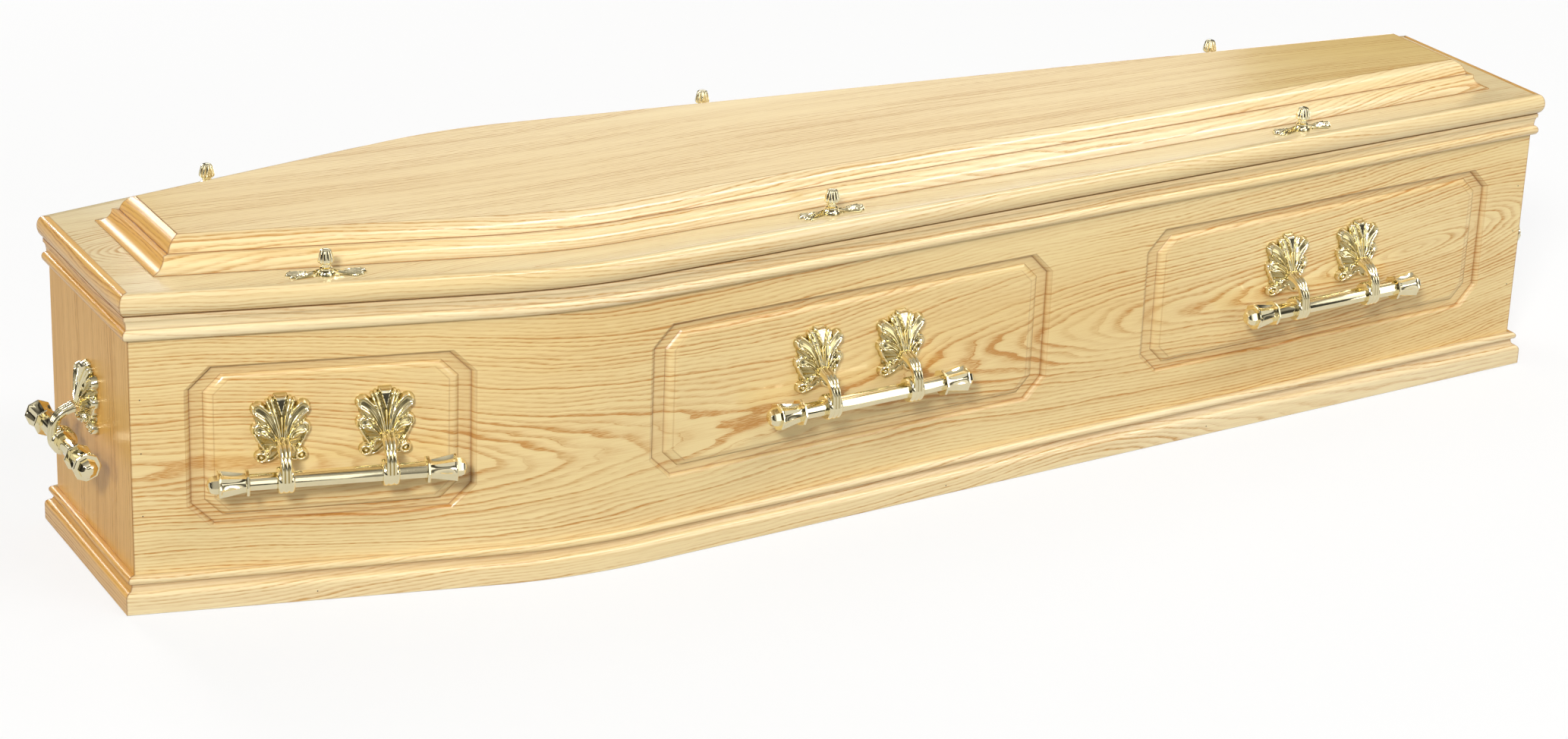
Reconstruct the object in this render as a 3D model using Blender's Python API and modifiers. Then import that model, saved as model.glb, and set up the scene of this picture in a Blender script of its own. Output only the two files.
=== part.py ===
"""Panelled oak-veneer coffin with a raised lid, cast bar handles and lid screws.

Metres, +Z up. The head end is at -X, the foot end at +X, and the coffin stands on Z = 0
with its middle over the origin. The near side faces -Y.
"""
import math

import bmesh
import bpy
from mathutils import Matrix, Vector

# Clearance between pieces that touch
GAP = 0.0003

# Flats that stand for a quarter of a moulding's round or hollow, and for a whole bead
ROUND_STEPS = 3
BEAD_STEPS = 4

# Plan of the box, over the outer faces of its boards
BODY_LENGTH = 2.0
HEAD_WIDTH = 0.278
SHOULDER_WIDTH = 0.507
FOOT_WIDTH = 0.290
SHOULDER_FROM_HEAD = 0.507
SHOULDER_BEND_RADIUS = 0.66
SHOULDER_BEND_STEPS = 4

# Boards
WALL_HEIGHT = 0.374
WALL_THICKNESS = 0.018
BASE_THICKNESS = 0.018

# Routed panels in the sides: a sunk channel round a flush field
PANEL_BOTTOM = 0.098
PANEL_TOP = 0.298
PANEL_FROM_HEAD_END = 0.062
PANEL_FROM_FOOT_END = 0.068
HEAD_PANEL_FROM_BEND = 0.021
MIDDLE_PANEL_FROM_BEND = 0.003
PANEL_SPACING = 0.150
PANEL_CORNER_CUT = 0.028
CHANNEL_WIDTH_AT_ENDS = 0.036
CHANNEL_WIDTH_AT_EDGES = 0.021
CHANNEL_DEPTH = 0.006
CUTTER_RISE = 0.002

# The channel across its width, from its outer edge in, as shares of its width and depth
CHANNEL_SECTION = (
    (0.00, 0.10),
    (0.22, 1.00),
    (0.64, 1.00),
    (0.90, 0.25),
    (1.00, 0.00),
)

# Plinth moulding: a tall flat, a hollow and a bead
PLINTH_HEIGHT = 0.045
PLINTH_PROJECTION = 0.014
PLINTH_FLAT_HEIGHT = 0.020
PLINTH_SHOULDER = 0.007
PLINTH_NECK = 0.0045
PLINTH_BEAD = 0.0050

# Moulding under the lid: a fillet, a hollow and a bead
CORNICE_HEIGHT = 0.030
CORNICE_PROJECTION = 0.0075
CORNICE_NECK = 0.0025
CORNICE_FILLET_HEIGHT = 0.005
CORNICE_FILLET_PROJECTION = 0.0055
CORNICE_BEAD = 0.0065

# Lid board with its rounded edging, which laps down over the walls
LID_THICKNESS = 0.018
LID_SET_IN = 0.002
EDGING_DEPTH = 0.027
EDGING_PROJECTION = 0.011
EDGING_FLAT = 0.004
EDGING_FOOT = 0.002

# Raised tier: mitred mouldings round a thin top panel
RAISED_SET_IN = 0.0456
RAISED_HEIGHT = 0.0358
RAISED_SLOPE = 0.0403
RAISED_FOOT_FILLET = 0.0012
RAISED_COVE_WIDTH = 0.0166
RAISED_COVE_TOP = 0.0176
RAISED_STEP_WIDTH = 0.0068
RAISED_STEP_HEIGHT = 0.0010
RAISED_ROUND_BOW = 0.0030
RAISED_LEDGE = 0.014
TOP_PANEL_THICKNESS = 0.009

# Bar handles
HANDLE_HEIGHT = 0.166
HANDLE_STANDOFF = 0.035
SIDE_BAR_LENGTH = 0.300
END_BAR_LENGTH = 0.204
BRACKET_SPACING = 0.121
BAR_RADIUS = 0.0103
BAR_SIDES = 8
CAP_LENGTH = 0.044
CAP_RIM_RADIUS = 0.0172
CAP_WAIST_RADIUS = 0.0118
CAP_TIP_RADIUS = 0.0115
CAP_TIP_LENGTH = 0.012
COLLAR_RADIUS = 0.0168
COLLAR_WIDTH = 0.0035

# Cast brackets: a leaf plate, an arm and the sleeve that holds the bar
LEAF_ABOVE_BAR = 0.0385
LEAF_EDGE_THICKNESS = 0.003
LEAF_RIDGE_HEIGHT = 0.0108
LEAF_VALLEY_HEIGHT = 0.0068
LEAF_ROOT_HEIGHT = 0.0180
LEAF_CROWN = 0.70
ARM_ROOT_OUT = 0.0110
ARM_ROOT_WIDTH = 0.020
ARM_ROOT_THICKNESS = 0.014
ARM_WIDTH = 0.0145
ARM_THICKNESS = 0.008
ARM_EDGE_SHARE = 0.2
ARM_STEPS = 4
SLEEVE_RADIUS = 0.0160
SLEEVE_WIDTH = 0.019

# Each lobe of the leaf, up one side from the top: its angle from upright, its reach
# and how far the notch that follows it comes in from the straight line to the next lobe
LEAF_LOBES = (
    (0.0, 0.0555, 0.0030),
    (16.0, 0.0545, 0.0040),
    (37.0, 0.0520, 0.0080),
    (63.0, 0.0380, 0.0060),
    (92.0, 0.0300, 0.0040),
    (130.0, 0.0370, 0.0110),
)

# Lid screws: a winged plate and a turned knob on its boss
SCREW_SET_IN = 0.0208
WING_EDGE_THICKNESS = 0.0014
WING_RIDGE_HEIGHT = 0.0040
WING_VALLEY_HEIGHT = 0.0024
BOSS_HEIGHT = 0.0062
BOSS_SHARE = 0.16
WING_CROWN = 0.62
KNOB_SIDES = 8
KNOB_HEIGHT = 0.0245
KNOB_FOOT_RADIUS = 0.0078
KNOB_FOOT_HEIGHT = 0.0022
KNOB_NECK_RADIUS = 0.0056
KNOB_NECK_HEIGHT = 0.0075
KNOB_LIP_RADIUS = 0.0076
KNOB_SKIRT_RADIUS = 0.0088
KNOB_SKIRT_HEIGHT = 0.0122
KNOB_CROWN_RADIUS = 0.0066
KNOB_DOME_HEIGHT = 0.0027
KNOB_TOP_RADIUS = 0.0040

# Each lobe of a quarter of the winged plate: its angle from the wing's own line,
# its reach and the depth of the notch that follows it
WING_LOBES = (
    (0.0, 0.0475, 0.0030),
    (14.0, 0.0330, 0.0060),
    (45.0, 0.0135, 0.0030),
)

# How far each side's lid screws stand from the head end, set by hand and not quite in pairs
SCREWS_FROM_HEAD = {
    "near": {"head": 0.223, "middle": 0.868, "foot": 1.605},
    "far": {"head": 0.203, "middle": 0.903, "foot": 1.665},
}

# Levels, from the floor up
LID_BOTTOM = WALL_HEIGHT + GAP
LID_TOP = LID_BOTTOM + LID_THICKNESS
EDGING_BOTTOM = LID_TOP - EDGING_DEPTH
CORNICE_TOP = EDGING_BOTTOM - GAP
CORNICE_BOTTOM = CORNICE_TOP - CORNICE_HEIGHT
RAISED_BOTTOM = LID_TOP + GAP
RAISED_TOP = RAISED_BOTTOM + RAISED_HEIGHT

# Half of the plan, as distance along X and half width
HEAD_CORNER = Vector((-BODY_LENGTH / 2, HEAD_WIDTH / 2))
SHOULDER = Vector((SHOULDER_FROM_HEAD - BODY_LENGTH / 2, SHOULDER_WIDTH / 2))
FOOT_CORNER = Vector((BODY_LENGTH / 2, FOOT_WIDTH / 2))
HEAD_RUN = (SHOULDER - HEAD_CORNER).normalized()
FOOT_RUN = (FOOT_CORNER - SHOULDER).normalized()
HEAD_NORMAL = Vector((-HEAD_RUN.y, HEAD_RUN.x))
FOOT_NORMAL = Vector((-FOOT_RUN.y, FOOT_RUN.x))
BEND_ANGLE = HEAD_NORMAL.angle(FOOT_NORMAL)
BEND_TANGENT = SHOULDER_BEND_RADIUS * math.tan(BEND_ANGLE / 2)
BEND_CENTRE = SHOULDER - (HEAD_NORMAL + FOOT_NORMAL) * (
    SHOULDER_BEND_RADIUS / (1 + HEAD_NORMAL.dot(FOOT_NORMAL))
)

NEAR, FAR = -1, 1
SIDES = {"near": NEAR, "far": FAR}


def new_material(name, colour, roughness, metallic):
    """A plain finish."""
    material = bpy.data.materials.new(name)
    material.use_nodes = True
    shader = material.node_tree.nodes["Principled BSDF"]
    shader.inputs["Base Color"].default_value = (*colour, 1.0)
    shader.inputs["Roughness"].default_value = roughness
    shader.inputs["Metallic"].default_value = metallic
    return material


def start_scene():
    """Empty the scene and make the collections for the coffin and its cutters."""
    for leftover in list(bpy.data.objects):
        bpy.data.objects.remove(leftover)
    coffin = bpy.data.collections.new("wooden_coffin")
    cutters = bpy.data.collections.new("cutters")
    bpy.context.scene.collection.children.link(coffin)
    bpy.context.scene.collection.children.link(cutters)
    return coffin, cutters


COFFIN, CUTTERS = start_scene()
VENEER = new_material("oak_veneer", (0.72, 0.50, 0.25), 0.45, 0.0)
MOULDING = new_material("oak_moulding", (0.68, 0.45, 0.20), 0.40, 0.0)
BRASS = new_material("plated_brass", (0.86, 0.78, 0.52), 0.16, 1.0)


def new_object(name, data, material, collection=COFFIN):
    """An object of its own for a mesh or curve."""
    if not data.materials:
        data.materials.append(material)
    made = bpy.data.objects.new(name, data)
    collection.objects.link(made)
    return made


def mesh_from(bm, name):
    """A mesh of a bmesh whose faces all point outwards."""
    bmesh.ops.recalc_face_normals(bm, faces=bm.faces)
    mesh = bpy.data.meshes.new(name)
    bm.to_mesh(mesh)
    bm.free()
    return mesh


def loft(name, rows, closed=False, apex=None):
    """A solid mesh through rows of points that each go once round its section.

    It is flat at both ends, or closed on itself, or runs up from its last row to an apex.
    """
    bm = bmesh.new()
    rings = [[bm.verts.new(point) for point in row] for row in rows]
    pairs = list(zip(rings, rings[1:]))
    if closed:
        pairs.append((rings[-1], rings[0]))
    else:
        bm.faces.new(rings[0])
    for ring, following in pairs:
        for i, corner in enumerate(ring):
            j = (i + 1) % len(ring)
            bm.faces.new((corner, ring[j], following[j], following[i]))
    if apex:
        peak = bm.verts.new(apex)
        for corner, following in zip(rings[-1], rings[-1][1:] + rings[-1][:1]):
            bm.faces.new((corner, following, peak))
    elif not closed:
        bm.faces.new(rings[-1])
    return mesh_from(bm, name)


def cutter(name, mesh, place):
    """A hidden solid that is taken away from a piece, or joined to it."""
    tool = new_object(name, mesh, BRASS, CUTTERS)
    tool.matrix_world = place
    tool.hide_render = True
    tool.display_type = "WIRE"
    return tool


def cut(piece, tool, operation="DIFFERENCE"):
    """Cut a piece with a tool, or join the tool to it."""
    boolean = piece.modifiers.new(tool.name, "BOOLEAN")
    boolean.operation = operation
    boolean.solver = "EXACT"
    boolean.object = tool


def arc(centre, radii, start, end, steps):
    """Points on an ellipse from one angle to another, in degrees, both ends included."""
    points = []
    for step in range(steps + 1):
        angle = math.radians(start + (end - start) * step / steps)
        out = centre[0] + radii[0] * math.cos(angle)
        up = centre[1] + radii[1] * math.sin(angle)
        points.append((out, up))
    return points


def bowed(start, end, bow, steps):
    """Points on a shallow curve that stands out to the right of the straight line."""
    run = Vector(end) - Vector(start)
    side = Vector((run.y, -run.x)).normalized()
    points = []
    for step in range(steps + 1):
        share = step / steps
        points.append(Vector(start) + run * share + side * (4 * bow * share * (1 - share)))
    return points


# The plan of the coffin and what runs round it

def half_outline(offset):
    """One side's head corner, shoulder bend and foot corner, a distance outside the boards."""
    head_rise = offset * (1 + HEAD_NORMAL.x) / HEAD_NORMAL.y
    foot_rise = offset * (1 - FOOT_NORMAL.x) / FOOT_NORMAL.y
    head = HEAD_CORNER + Vector((-offset, head_rise))
    foot = FOOT_CORNER + Vector((offset, foot_rise))
    first = math.atan2(HEAD_NORMAL.y, HEAD_NORMAL.x)
    last = math.atan2(FOOT_NORMAL.y, FOOT_NORMAL.x)
    points = [head]
    for step in range(SHOULDER_BEND_STEPS + 1):
        angle = first + (last - first) * step / SHOULDER_BEND_STEPS
        reach = SHOULDER_BEND_RADIUS + offset
        points.append(BEND_CENTRE + Vector((math.cos(angle), math.sin(angle))) * reach)
    points.append(foot)
    return points


def side_strip(name, profile, side, material):
    """A length of a profile along one side, bent at the shoulder and mitred at both ends."""
    columns = []
    for offset, height in profile:
        points = half_outline(offset)
        points[0] = points[0] + HEAD_RUN * GAP
        points[-1] = points[-1] - FOOT_RUN * GAP
        columns.append([Vector((point.x, side * point.y, height)) for point in points])
    return new_object(name, loft(name, list(zip(*columns))), material)


def end_strip(name, profile, end, material):
    """A length of a profile across the head (0) or the foot (-1), mitred at both ends."""
    rows = [[], []]
    for offset, height in profile:
        corner = half_outline(offset)[end]
        reach = corner.y - GAP
        rows[0].append(Vector((corner.x, -reach, height)))
        rows[1].append(Vector((corner.x, reach, height)))
    return new_object(name, loft(name, rows), material)


def ring_of_strips(stem, profile, material):
    """The four lengths of a profile that go round the coffin."""
    for side_name, side in SIDES.items():
        side_strip(f"{stem}_{side_name}", profile, side, material)
    end_strip(f"{stem}_head", profile, 0, material)
    end_strip(f"{stem}_foot", profile, -1, material)


def flat_board(name, offset, bottom, thickness, material):
    """A level board of the coffin's six-sided plan."""
    half = half_outline(offset)
    outline = [(point.x, -point.y) for point in half]
    outline += [(point.x, point.y) for point in reversed(half)]
    curve = bpy.data.curves.new(name, "CURVE")
    curve.dimensions = "2D"
    curve.fill_mode = "BOTH"
    curve.extrude = thickness / 2
    spline = curve.splines.new("POLY")
    spline.points.add(len(outline) - 1)
    for spot, (x, y) in zip(spline.points, outline):
        spot.co = (x, y, 0.0, 1.0)
    spline.use_cyclic_u = True
    board = new_object(name, curve, material)
    board.location.z = bottom + thickness / 2
    return board


# Places on the outer faces of the walls

def wall_turn(wall, side):
    """The turn about Z that points a thing's -Y straight out of a wall."""
    if wall == "head_end":
        return -math.pi / 2
    if wall == "foot_end":
        return math.pi / 2
    run = HEAD_RUN if wall == "head_run" else FOOT_RUN
    slope = math.atan2(run.y, run.x)
    return -slope if side == NEAR else math.pi + slope


def wall_place(wall, side, along, height, out=0.0):
    """A matrix at a spot on a wall: X along it, -Y straight out of it, Z up."""
    if wall == "head_end":
        spot = Vector((HEAD_CORNER.x - out, along))
    elif wall == "foot_end":
        spot = Vector((FOOT_CORNER.x + out, along))
    else:
        on_head_run = wall == "head_run"
        start = HEAD_CORNER if on_head_run else SHOULDER
        run = HEAD_RUN if on_head_run else FOOT_RUN
        normal = HEAD_NORMAL if on_head_run else FOOT_NORMAL
        flat = start + run * along + normal * out
        spot = Vector((flat.x, side * flat.y))
    turn = Matrix.Rotation(wall_turn(wall, side), 4, "Z")
    return Matrix.Translation((spot.x, spot.y, height)) @ turn


def side_panels():
    """Wall, first edge and last edge of each routed panel, along its wall."""
    head_end = (SHOULDER - HEAD_CORNER).length - BEND_TANGENT - HEAD_PANEL_FROM_BEND
    foot_start = BEND_TANGENT + MIDDLE_PANEL_FROM_BEND
    foot_end = (FOOT_CORNER - SHOULDER).length - PANEL_FROM_FOOT_END
    length = (foot_end - foot_start - PANEL_SPACING) / 2
    return {
        "head": ("head_run", PANEL_FROM_HEAD_END, head_end),
        "middle": ("foot_run", foot_start, foot_start + length),
        "foot": ("foot_run", foot_end - length, foot_end),
    }


# Boards

def channel_mesh(name, half_length, half_height):
    """An eight-sided ring, as the cutter leaves it round a panel's field."""
    section = [(share, -depth_share * CHANNEL_DEPTH) for share, depth_share in CHANNEL_SECTION]
    rows = []
    for share, rise in ((0.0, CUTTER_RISE), *section, (1.0, CUTTER_RISE)):
        across = half_length - share * CHANNEL_WIDTH_AT_ENDS
        up = half_height - share * CHANNEL_WIDTH_AT_EDGES
        corner = PANEL_CORNER_CUT - share * CHANNEL_WIDTH_AT_EDGES * (2 - math.sqrt(2))
        ring = []
        for sign_x, sign_z in ((1, 1), (1, -1), (-1, -1), (-1, 1)):
            on_edge = Vector((sign_x * (across - corner), -rise, sign_z * up))
            on_end = Vector((sign_x * across, -rise, sign_z * (up - corner)))
            ring += [on_edge, on_end] if sign_x * sign_z > 0 else [on_end, on_edge]
        rows.append(ring)
    return loft(name, rows, closed=True)


def wall_profile():
    """An upright board's section."""
    return ((0.0, 0.0), (0.0, WALL_HEIGHT), (-WALL_THICKNESS, WALL_HEIGHT), (-WALL_THICKNESS, 0.0))


def side_board(side_name, side):
    """A side board, bent at the shoulder, with three routed panels."""
    board = side_strip(f"{side_name}_side_board", wall_profile(), side, VENEER)
    middle_height = (PANEL_BOTTOM + PANEL_TOP) / 2
    half_height = (PANEL_TOP - PANEL_BOTTOM) / 2
    for panel_name, (wall, first, last) in side_panels().items():
        name = f"{side_name}_{panel_name}_channel"
        mesh = channel_mesh(name, (last - first) / 2, half_height)
        cut(board, cutter(name, mesh, wall_place(wall, side, (first + last) / 2, middle_height)))


def build_boards():
    """Walls and base."""
    for side_name, side in SIDES.items():
        side_board(side_name, side)
    end_strip("head_board", wall_profile(), 0, VENEER)
    end_strip("foot_board", wall_profile(), -1, VENEER)
    flat_board("base_board", -WALL_THICKNESS - GAP, 0.0, BASE_THICKNESS, VENEER)


# Mouldings

def plinth_profile():
    """Tall flat with a rounded shoulder, a hollow neck and a bead against the wall."""
    shoulder_top = PLINTH_FLAT_HEIGHT + PLINTH_SHOULDER
    shoulder_centre = (PLINTH_PROJECTION - PLINTH_SHOULDER, PLINTH_FLAT_HEIGHT)
    shoulder = arc(shoulder_centre, (PLINTH_SHOULDER, PLINTH_SHOULDER), 0, 90, ROUND_STEPS)
    bead_centre = (PLINTH_NECK, PLINTH_HEIGHT - PLINTH_BEAD)
    bead = arc(bead_centre, (PLINTH_BEAD, PLINTH_BEAD), -90, 90, BEAD_STEPS)
    neck_height = (shoulder_top + bead_centre[1] - PLINTH_BEAD) / 2
    return [
        (GAP, 0.0), (PLINTH_PROJECTION, 0.0), *shoulder,
        (PLINTH_NECK + GAP, neck_height), *bead, (GAP, PLINTH_HEIGHT),
    ]


def cornice_profile():
    """Bead, hollow and fillet, from the wall up to the lid's edging."""
    bead_middle = CORNICE_BOTTOM + CORNICE_BEAD
    bead_reach = CORNICE_PROJECTION - CORNICE_NECK
    bead = arc((CORNICE_NECK, bead_middle), (bead_reach, CORNICE_BEAD), -90, 90, BEAD_STEPS)
    hollow_centre = (CORNICE_FILLET_PROJECTION, bead_middle + CORNICE_BEAD)
    hollow_height = CORNICE_TOP - CORNICE_FILLET_HEIGHT - hollow_centre[1]
    hollow_radii = (CORNICE_FILLET_PROJECTION - CORNICE_NECK, hollow_height)
    hollow = arc(hollow_centre, hollow_radii, 180, 90, ROUND_STEPS)
    return [
        (GAP, CORNICE_BOTTOM), *bead, *hollow[1:],
        (CORNICE_FILLET_PROJECTION, CORNICE_TOP), (GAP, CORNICE_TOP),
    ]


def edging_profile():
    """Rounded nose beside the lid board, rebated where it laps over the walls."""
    half_depth = EDGING_DEPTH / 2
    middle = LID_TOP - half_depth
    upper_radii = (EDGING_PROJECTION - EDGING_FLAT, half_depth)
    upper = arc((EDGING_FLAT, middle), upper_radii, 90, 0, ROUND_STEPS)
    lower_radii = (EDGING_PROJECTION - EDGING_FOOT, half_depth)
    lower = arc((EDGING_FOOT, middle), lower_radii, 0, -90, ROUND_STEPS)
    inner = GAP - LID_SET_IN
    lap = 2 * GAP
    return [
        (inner, LID_TOP), *upper, *lower[1:],
        (lap, EDGING_BOTTOM), (lap, LID_BOTTOM), (inner, LID_BOTTOM),
    ]


def raised_profile():
    """Foot fillet, hollow, step and shallow round, with a ledge inside for the top panel."""
    foot = -RAISED_SET_IN
    crest = foot - RAISED_SLOPE
    step = foot - RAISED_COVE_WIDTH
    cove_bottom = RAISED_BOTTOM + RAISED_FOOT_FILLET
    cove_top = RAISED_BOTTOM + RAISED_COVE_TOP
    round_bottom = cove_top + RAISED_STEP_HEIGHT
    round_foot = step - RAISED_STEP_WIDTH
    cove = arc((foot, cove_top), (RAISED_COVE_WIDTH, cove_top - cove_bottom), -90, -180, ROUND_STEPS)
    rounding = bowed((round_foot, round_bottom), (crest, RAISED_TOP), RAISED_ROUND_BOW, BEAD_STEPS)
    ledge = RAISED_TOP - TOP_PANEL_THICKNESS - GAP
    return [
        (foot, RAISED_BOTTOM), *cove, (round_foot, cove_top), *rounding,
        (crest, ledge), (crest - RAISED_LEDGE, ledge), (crest - RAISED_LEDGE, RAISED_BOTTOM),
    ]


def build_mouldings_and_lid():
    """Plinth, cornice, lid board with edging, and the raised tier."""
    ring_of_strips("plinth_moulding", plinth_profile(), MOULDING)
    ring_of_strips("cornice_moulding", cornice_profile(), MOULDING)
    flat_board("lid_board", -LID_SET_IN, LID_BOTTOM, LID_THICKNESS, VENEER)
    ring_of_strips("lid_edging", edging_profile(), MOULDING)
    ring_of_strips("raised_moulding", raised_profile(), MOULDING)
    crest = -RAISED_SET_IN - RAISED_SLOPE
    panel_bottom = RAISED_TOP - TOP_PANEL_THICKNESS
    flat_board("raised_top_panel", crest - GAP, panel_bottom, TOP_PANEL_THICKNESS, VENEER)


# Cast and turned fittings

def turned_mesh(name, profile):
    """A profile of radius and height, from its top down, for a Screw modifier to turn."""
    mesh = bpy.data.meshes.new(name)
    points = [(radius, 0.0, height) for radius, height in profile]
    mesh.from_pydata(points, [(i, i + 1) for i in range(len(points) - 1)], [])
    return mesh


def turned(name, mesh, sides, place):
    """A turned piece."""
    piece = new_object(name, mesh, BRASS)
    screw = piece.modifiers.new("Turning", "SCREW")
    screw.steps = sides
    screw.render_steps = sides
    screw.use_merge_vertices = True
    screw.merge_threshold = 0.00001
    piece.matrix_world = place
    return piece


def lobed_ring(lobes, fold):
    """Angle, reach and whether it is a ridge, for each lobe tip and notch all the way round.

    With a fold of 1 the lobes go down one side and are mirrored on the other. With a fold
    of 2 they fill a quarter, which is mirrored both ways.
    """
    half = []
    last_angle = 180.0 / fold
    for index, (angle, reach, notch) in enumerate(lobes):
        half.append((angle, reach, True))
        if index + 1 < len(lobes):
            next_angle, next_reach = lobes[index + 1][:2]
            half.append(((angle + next_angle) / 2, (reach + next_reach) / 2 - notch, False))
        else:
            half.append((last_angle, reach - notch, False))
    ring = list(half)
    if fold == 2:
        ring += [(2 * last_angle - angle, reach, ridge) for angle, reach, ridge in reversed(half[:-1])]
    ring += [(360.0 - angle, reach, ridge) for angle, reach, ridge in reversed(ring[1:-1])]
    return ring


def lobed_plate(name, ring, levels, apex=None):
    """A plate of ridged lobes, flat on its back at Y = 0 and raised towards -Y.

    Each level gives a share of the reach and the heights of a ridge and a notch there.
    """
    rows = []
    for share, ridge_height, notch_height in levels:
        row = []
        for angle, reach, ridge in ring:
            turn = math.radians(angle)
            out = -ridge_height if ridge else -notch_height
            row.append(Vector((math.sin(turn) * reach * share, out, math.cos(turn) * reach * share)))
        rows.append(row)
    return loft(name, rows, apex=apex)


def arm_mesh(name):
    """An arm that leaves the leaf's raised middle level and turns down into the sleeve."""
    rows = []
    for step in range(ARM_STEPS + 1):
        turn = math.radians(90.0 * step / ARM_STEPS)
        reach = HANDLE_STANDOFF - ARM_ROOT_OUT
        out = ARM_ROOT_OUT + reach * math.sin(turn)
        up = LEAF_ABOVE_BAR * math.cos(turn)
        centre = Vector((0.0, -out, up))
        run = Vector((0.0, -reach * math.cos(turn), -LEAF_ABOVE_BAR * math.sin(turn)))
        outer = run.normalized().cross(Vector((1.0, 0.0, 0.0)))
        width = ARM_ROOT_WIDTH if step == 0 else ARM_WIDTH
        thick = ARM_ROOT_THICKNESS if step == 0 else ARM_THICKNESS
        edge = thick * ARM_EDGE_SHARE
        section = (
            (-width / 2, -thick / 2), (width / 2, -thick / 2), (width / 2, edge),
            (0.0, thick / 2), (-width / 2, edge),
        )
        rows.append([centre + Vector((across, 0.0, 0.0)) + outer * lift for across, lift in section])
    return loft(name, rows)


def rod_mesh(name, radius, length):
    """A prism of the bar's number of sides, along X."""
    bm = bmesh.new()
    bmesh.ops.create_cone(
        bm, cap_ends=True, segments=BAR_SIDES, radius1=radius, radius2=radius, depth=length,
        matrix=Matrix.Rotation(math.pi / 2, 4, "Y"),
    )
    return mesh_from(bm, name)


def bracket_mesh():
    """The cast bracket, with its origin on the wall level with the bar."""
    levels = (
        (1.0, 0.0, 0.0),
        (1.0, LEAF_EDGE_THICKNESS, LEAF_EDGE_THICKNESS),
        (LEAF_CROWN, LEAF_RIDGE_HEIGHT, LEAF_VALLEY_HEIGHT),
    )
    root = (0.0, -LEAF_ROOT_HEIGHT, 0.0)
    leaf = new_object("leaf", lobed_plate("leaf", lobed_ring(LEAF_LOBES, 1), levels, root), BRASS)
    leaf.matrix_world = Matrix.Translation((0.0, 0.0, LEAF_ABOVE_BAR))
    at_bar = Matrix.Translation((0.0, -HANDLE_STANDOFF, 0.0))
    bore_radius = BAR_RADIUS + GAP / math.cos(math.pi / BAR_SIDES)
    cut(leaf, cutter("arm", arm_mesh("arm"), Matrix.Identity(4)), "UNION")
    cut(leaf, cutter("sleeve", rod_mesh("sleeve", SLEEVE_RADIUS, SLEEVE_WIDTH), at_bar), "UNION")
    cut(leaf, cutter("bore", rod_mesh("bore", bore_radius, SLEEVE_WIDTH * 2), at_bar))
    evaluated = leaf.evaluated_get(bpy.context.evaluated_depsgraph_get())
    mesh = bpy.data.meshes.new_from_object(evaluated)
    mesh.transform(leaf.matrix_world)
    bpy.data.objects.remove(leaf)
    return mesh


def bar_profile(length):
    """Half the bar's outline and its mirror image: tip, flared cap, collar and plain bar."""
    tip = length / 2
    rim = tip - CAP_TIP_LENGTH
    collar = tip - CAP_LENGTH
    half = [
        (0.0, tip),
        (CAP_TIP_RADIUS, rim),
        (CAP_RIM_RADIUS, rim),
        (CAP_WAIST_RADIUS, (rim + collar) / 2),
        (CAP_WAIST_RADIUS, collar),
        (COLLAR_RADIUS, collar),
        (COLLAR_RADIUS, collar - COLLAR_WIDTH),
        (BAR_RADIUS, collar - COLLAR_WIDTH),
    ]
    return half + [(radius, -height) for radius, height in reversed(half)]


def handle(stem, wall, side, along, bar, brackets, bracket, spacing):
    """A bar on its brackets, at a spot along a wall."""
    along_wall = Matrix.Rotation(math.pi / 2, 4, "Y")
    place = wall_place(wall, side, along, HANDLE_HEIGHT, GAP + HANDLE_STANDOFF)
    turned(f"{stem}_handle_bar", bar, BAR_SIDES, place @ along_wall)
    for index, letter in enumerate(brackets):
        shift = (index - (len(brackets) - 1) / 2) * spacing
        spot = wall_place(wall, side, along, HANDLE_HEIGHT, GAP) @ Matrix.Translation((shift, 0.0, 0.0))
        name = f"{stem}_handle_bracket{letter}"
        new_object(name, bracket, BRASS).matrix_world = spot


def build_handles():
    """Three handles with two brackets on each side, one with a single bracket on each end."""
    bracket = bracket_mesh()
    side_bar = turned_mesh("side_bar", bar_profile(SIDE_BAR_LENGTH))
    end_bar = turned_mesh("end_bar", bar_profile(END_BAR_LENGTH))
    for side_name, side in SIDES.items():
        for panel_name, (wall, first, last) in side_panels().items():
            stem = f"{side_name}_{panel_name}"
            middle = (first + last) / 2
            handle(stem, wall, side, middle, side_bar, ("_a", "_b"), bracket, BRACKET_SPACING)
    for wall in ("head_end", "foot_end"):
        handle(wall, wall, NEAR, 0.0, end_bar, ("",), bracket, BRACKET_SPACING)


def knob_profile():
    """Foot, neck and a crown that is widest at its skirt, from the top down."""
    return [
        (0.0, KNOB_HEIGHT),
        (KNOB_TOP_RADIUS, KNOB_HEIGHT),
        (KNOB_CROWN_RADIUS, KNOB_HEIGHT - KNOB_DOME_HEIGHT),
        (KNOB_SKIRT_RADIUS, KNOB_SKIRT_HEIGHT),
        (KNOB_LIP_RADIUS, KNOB_NECK_HEIGHT),
        (KNOB_NECK_RADIUS, KNOB_NECK_HEIGHT),
        (KNOB_NECK_RADIUS, KNOB_FOOT_HEIGHT),
        (KNOB_FOOT_RADIUS, 0.0),
        (0.0, 0.0),
    ]


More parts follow.
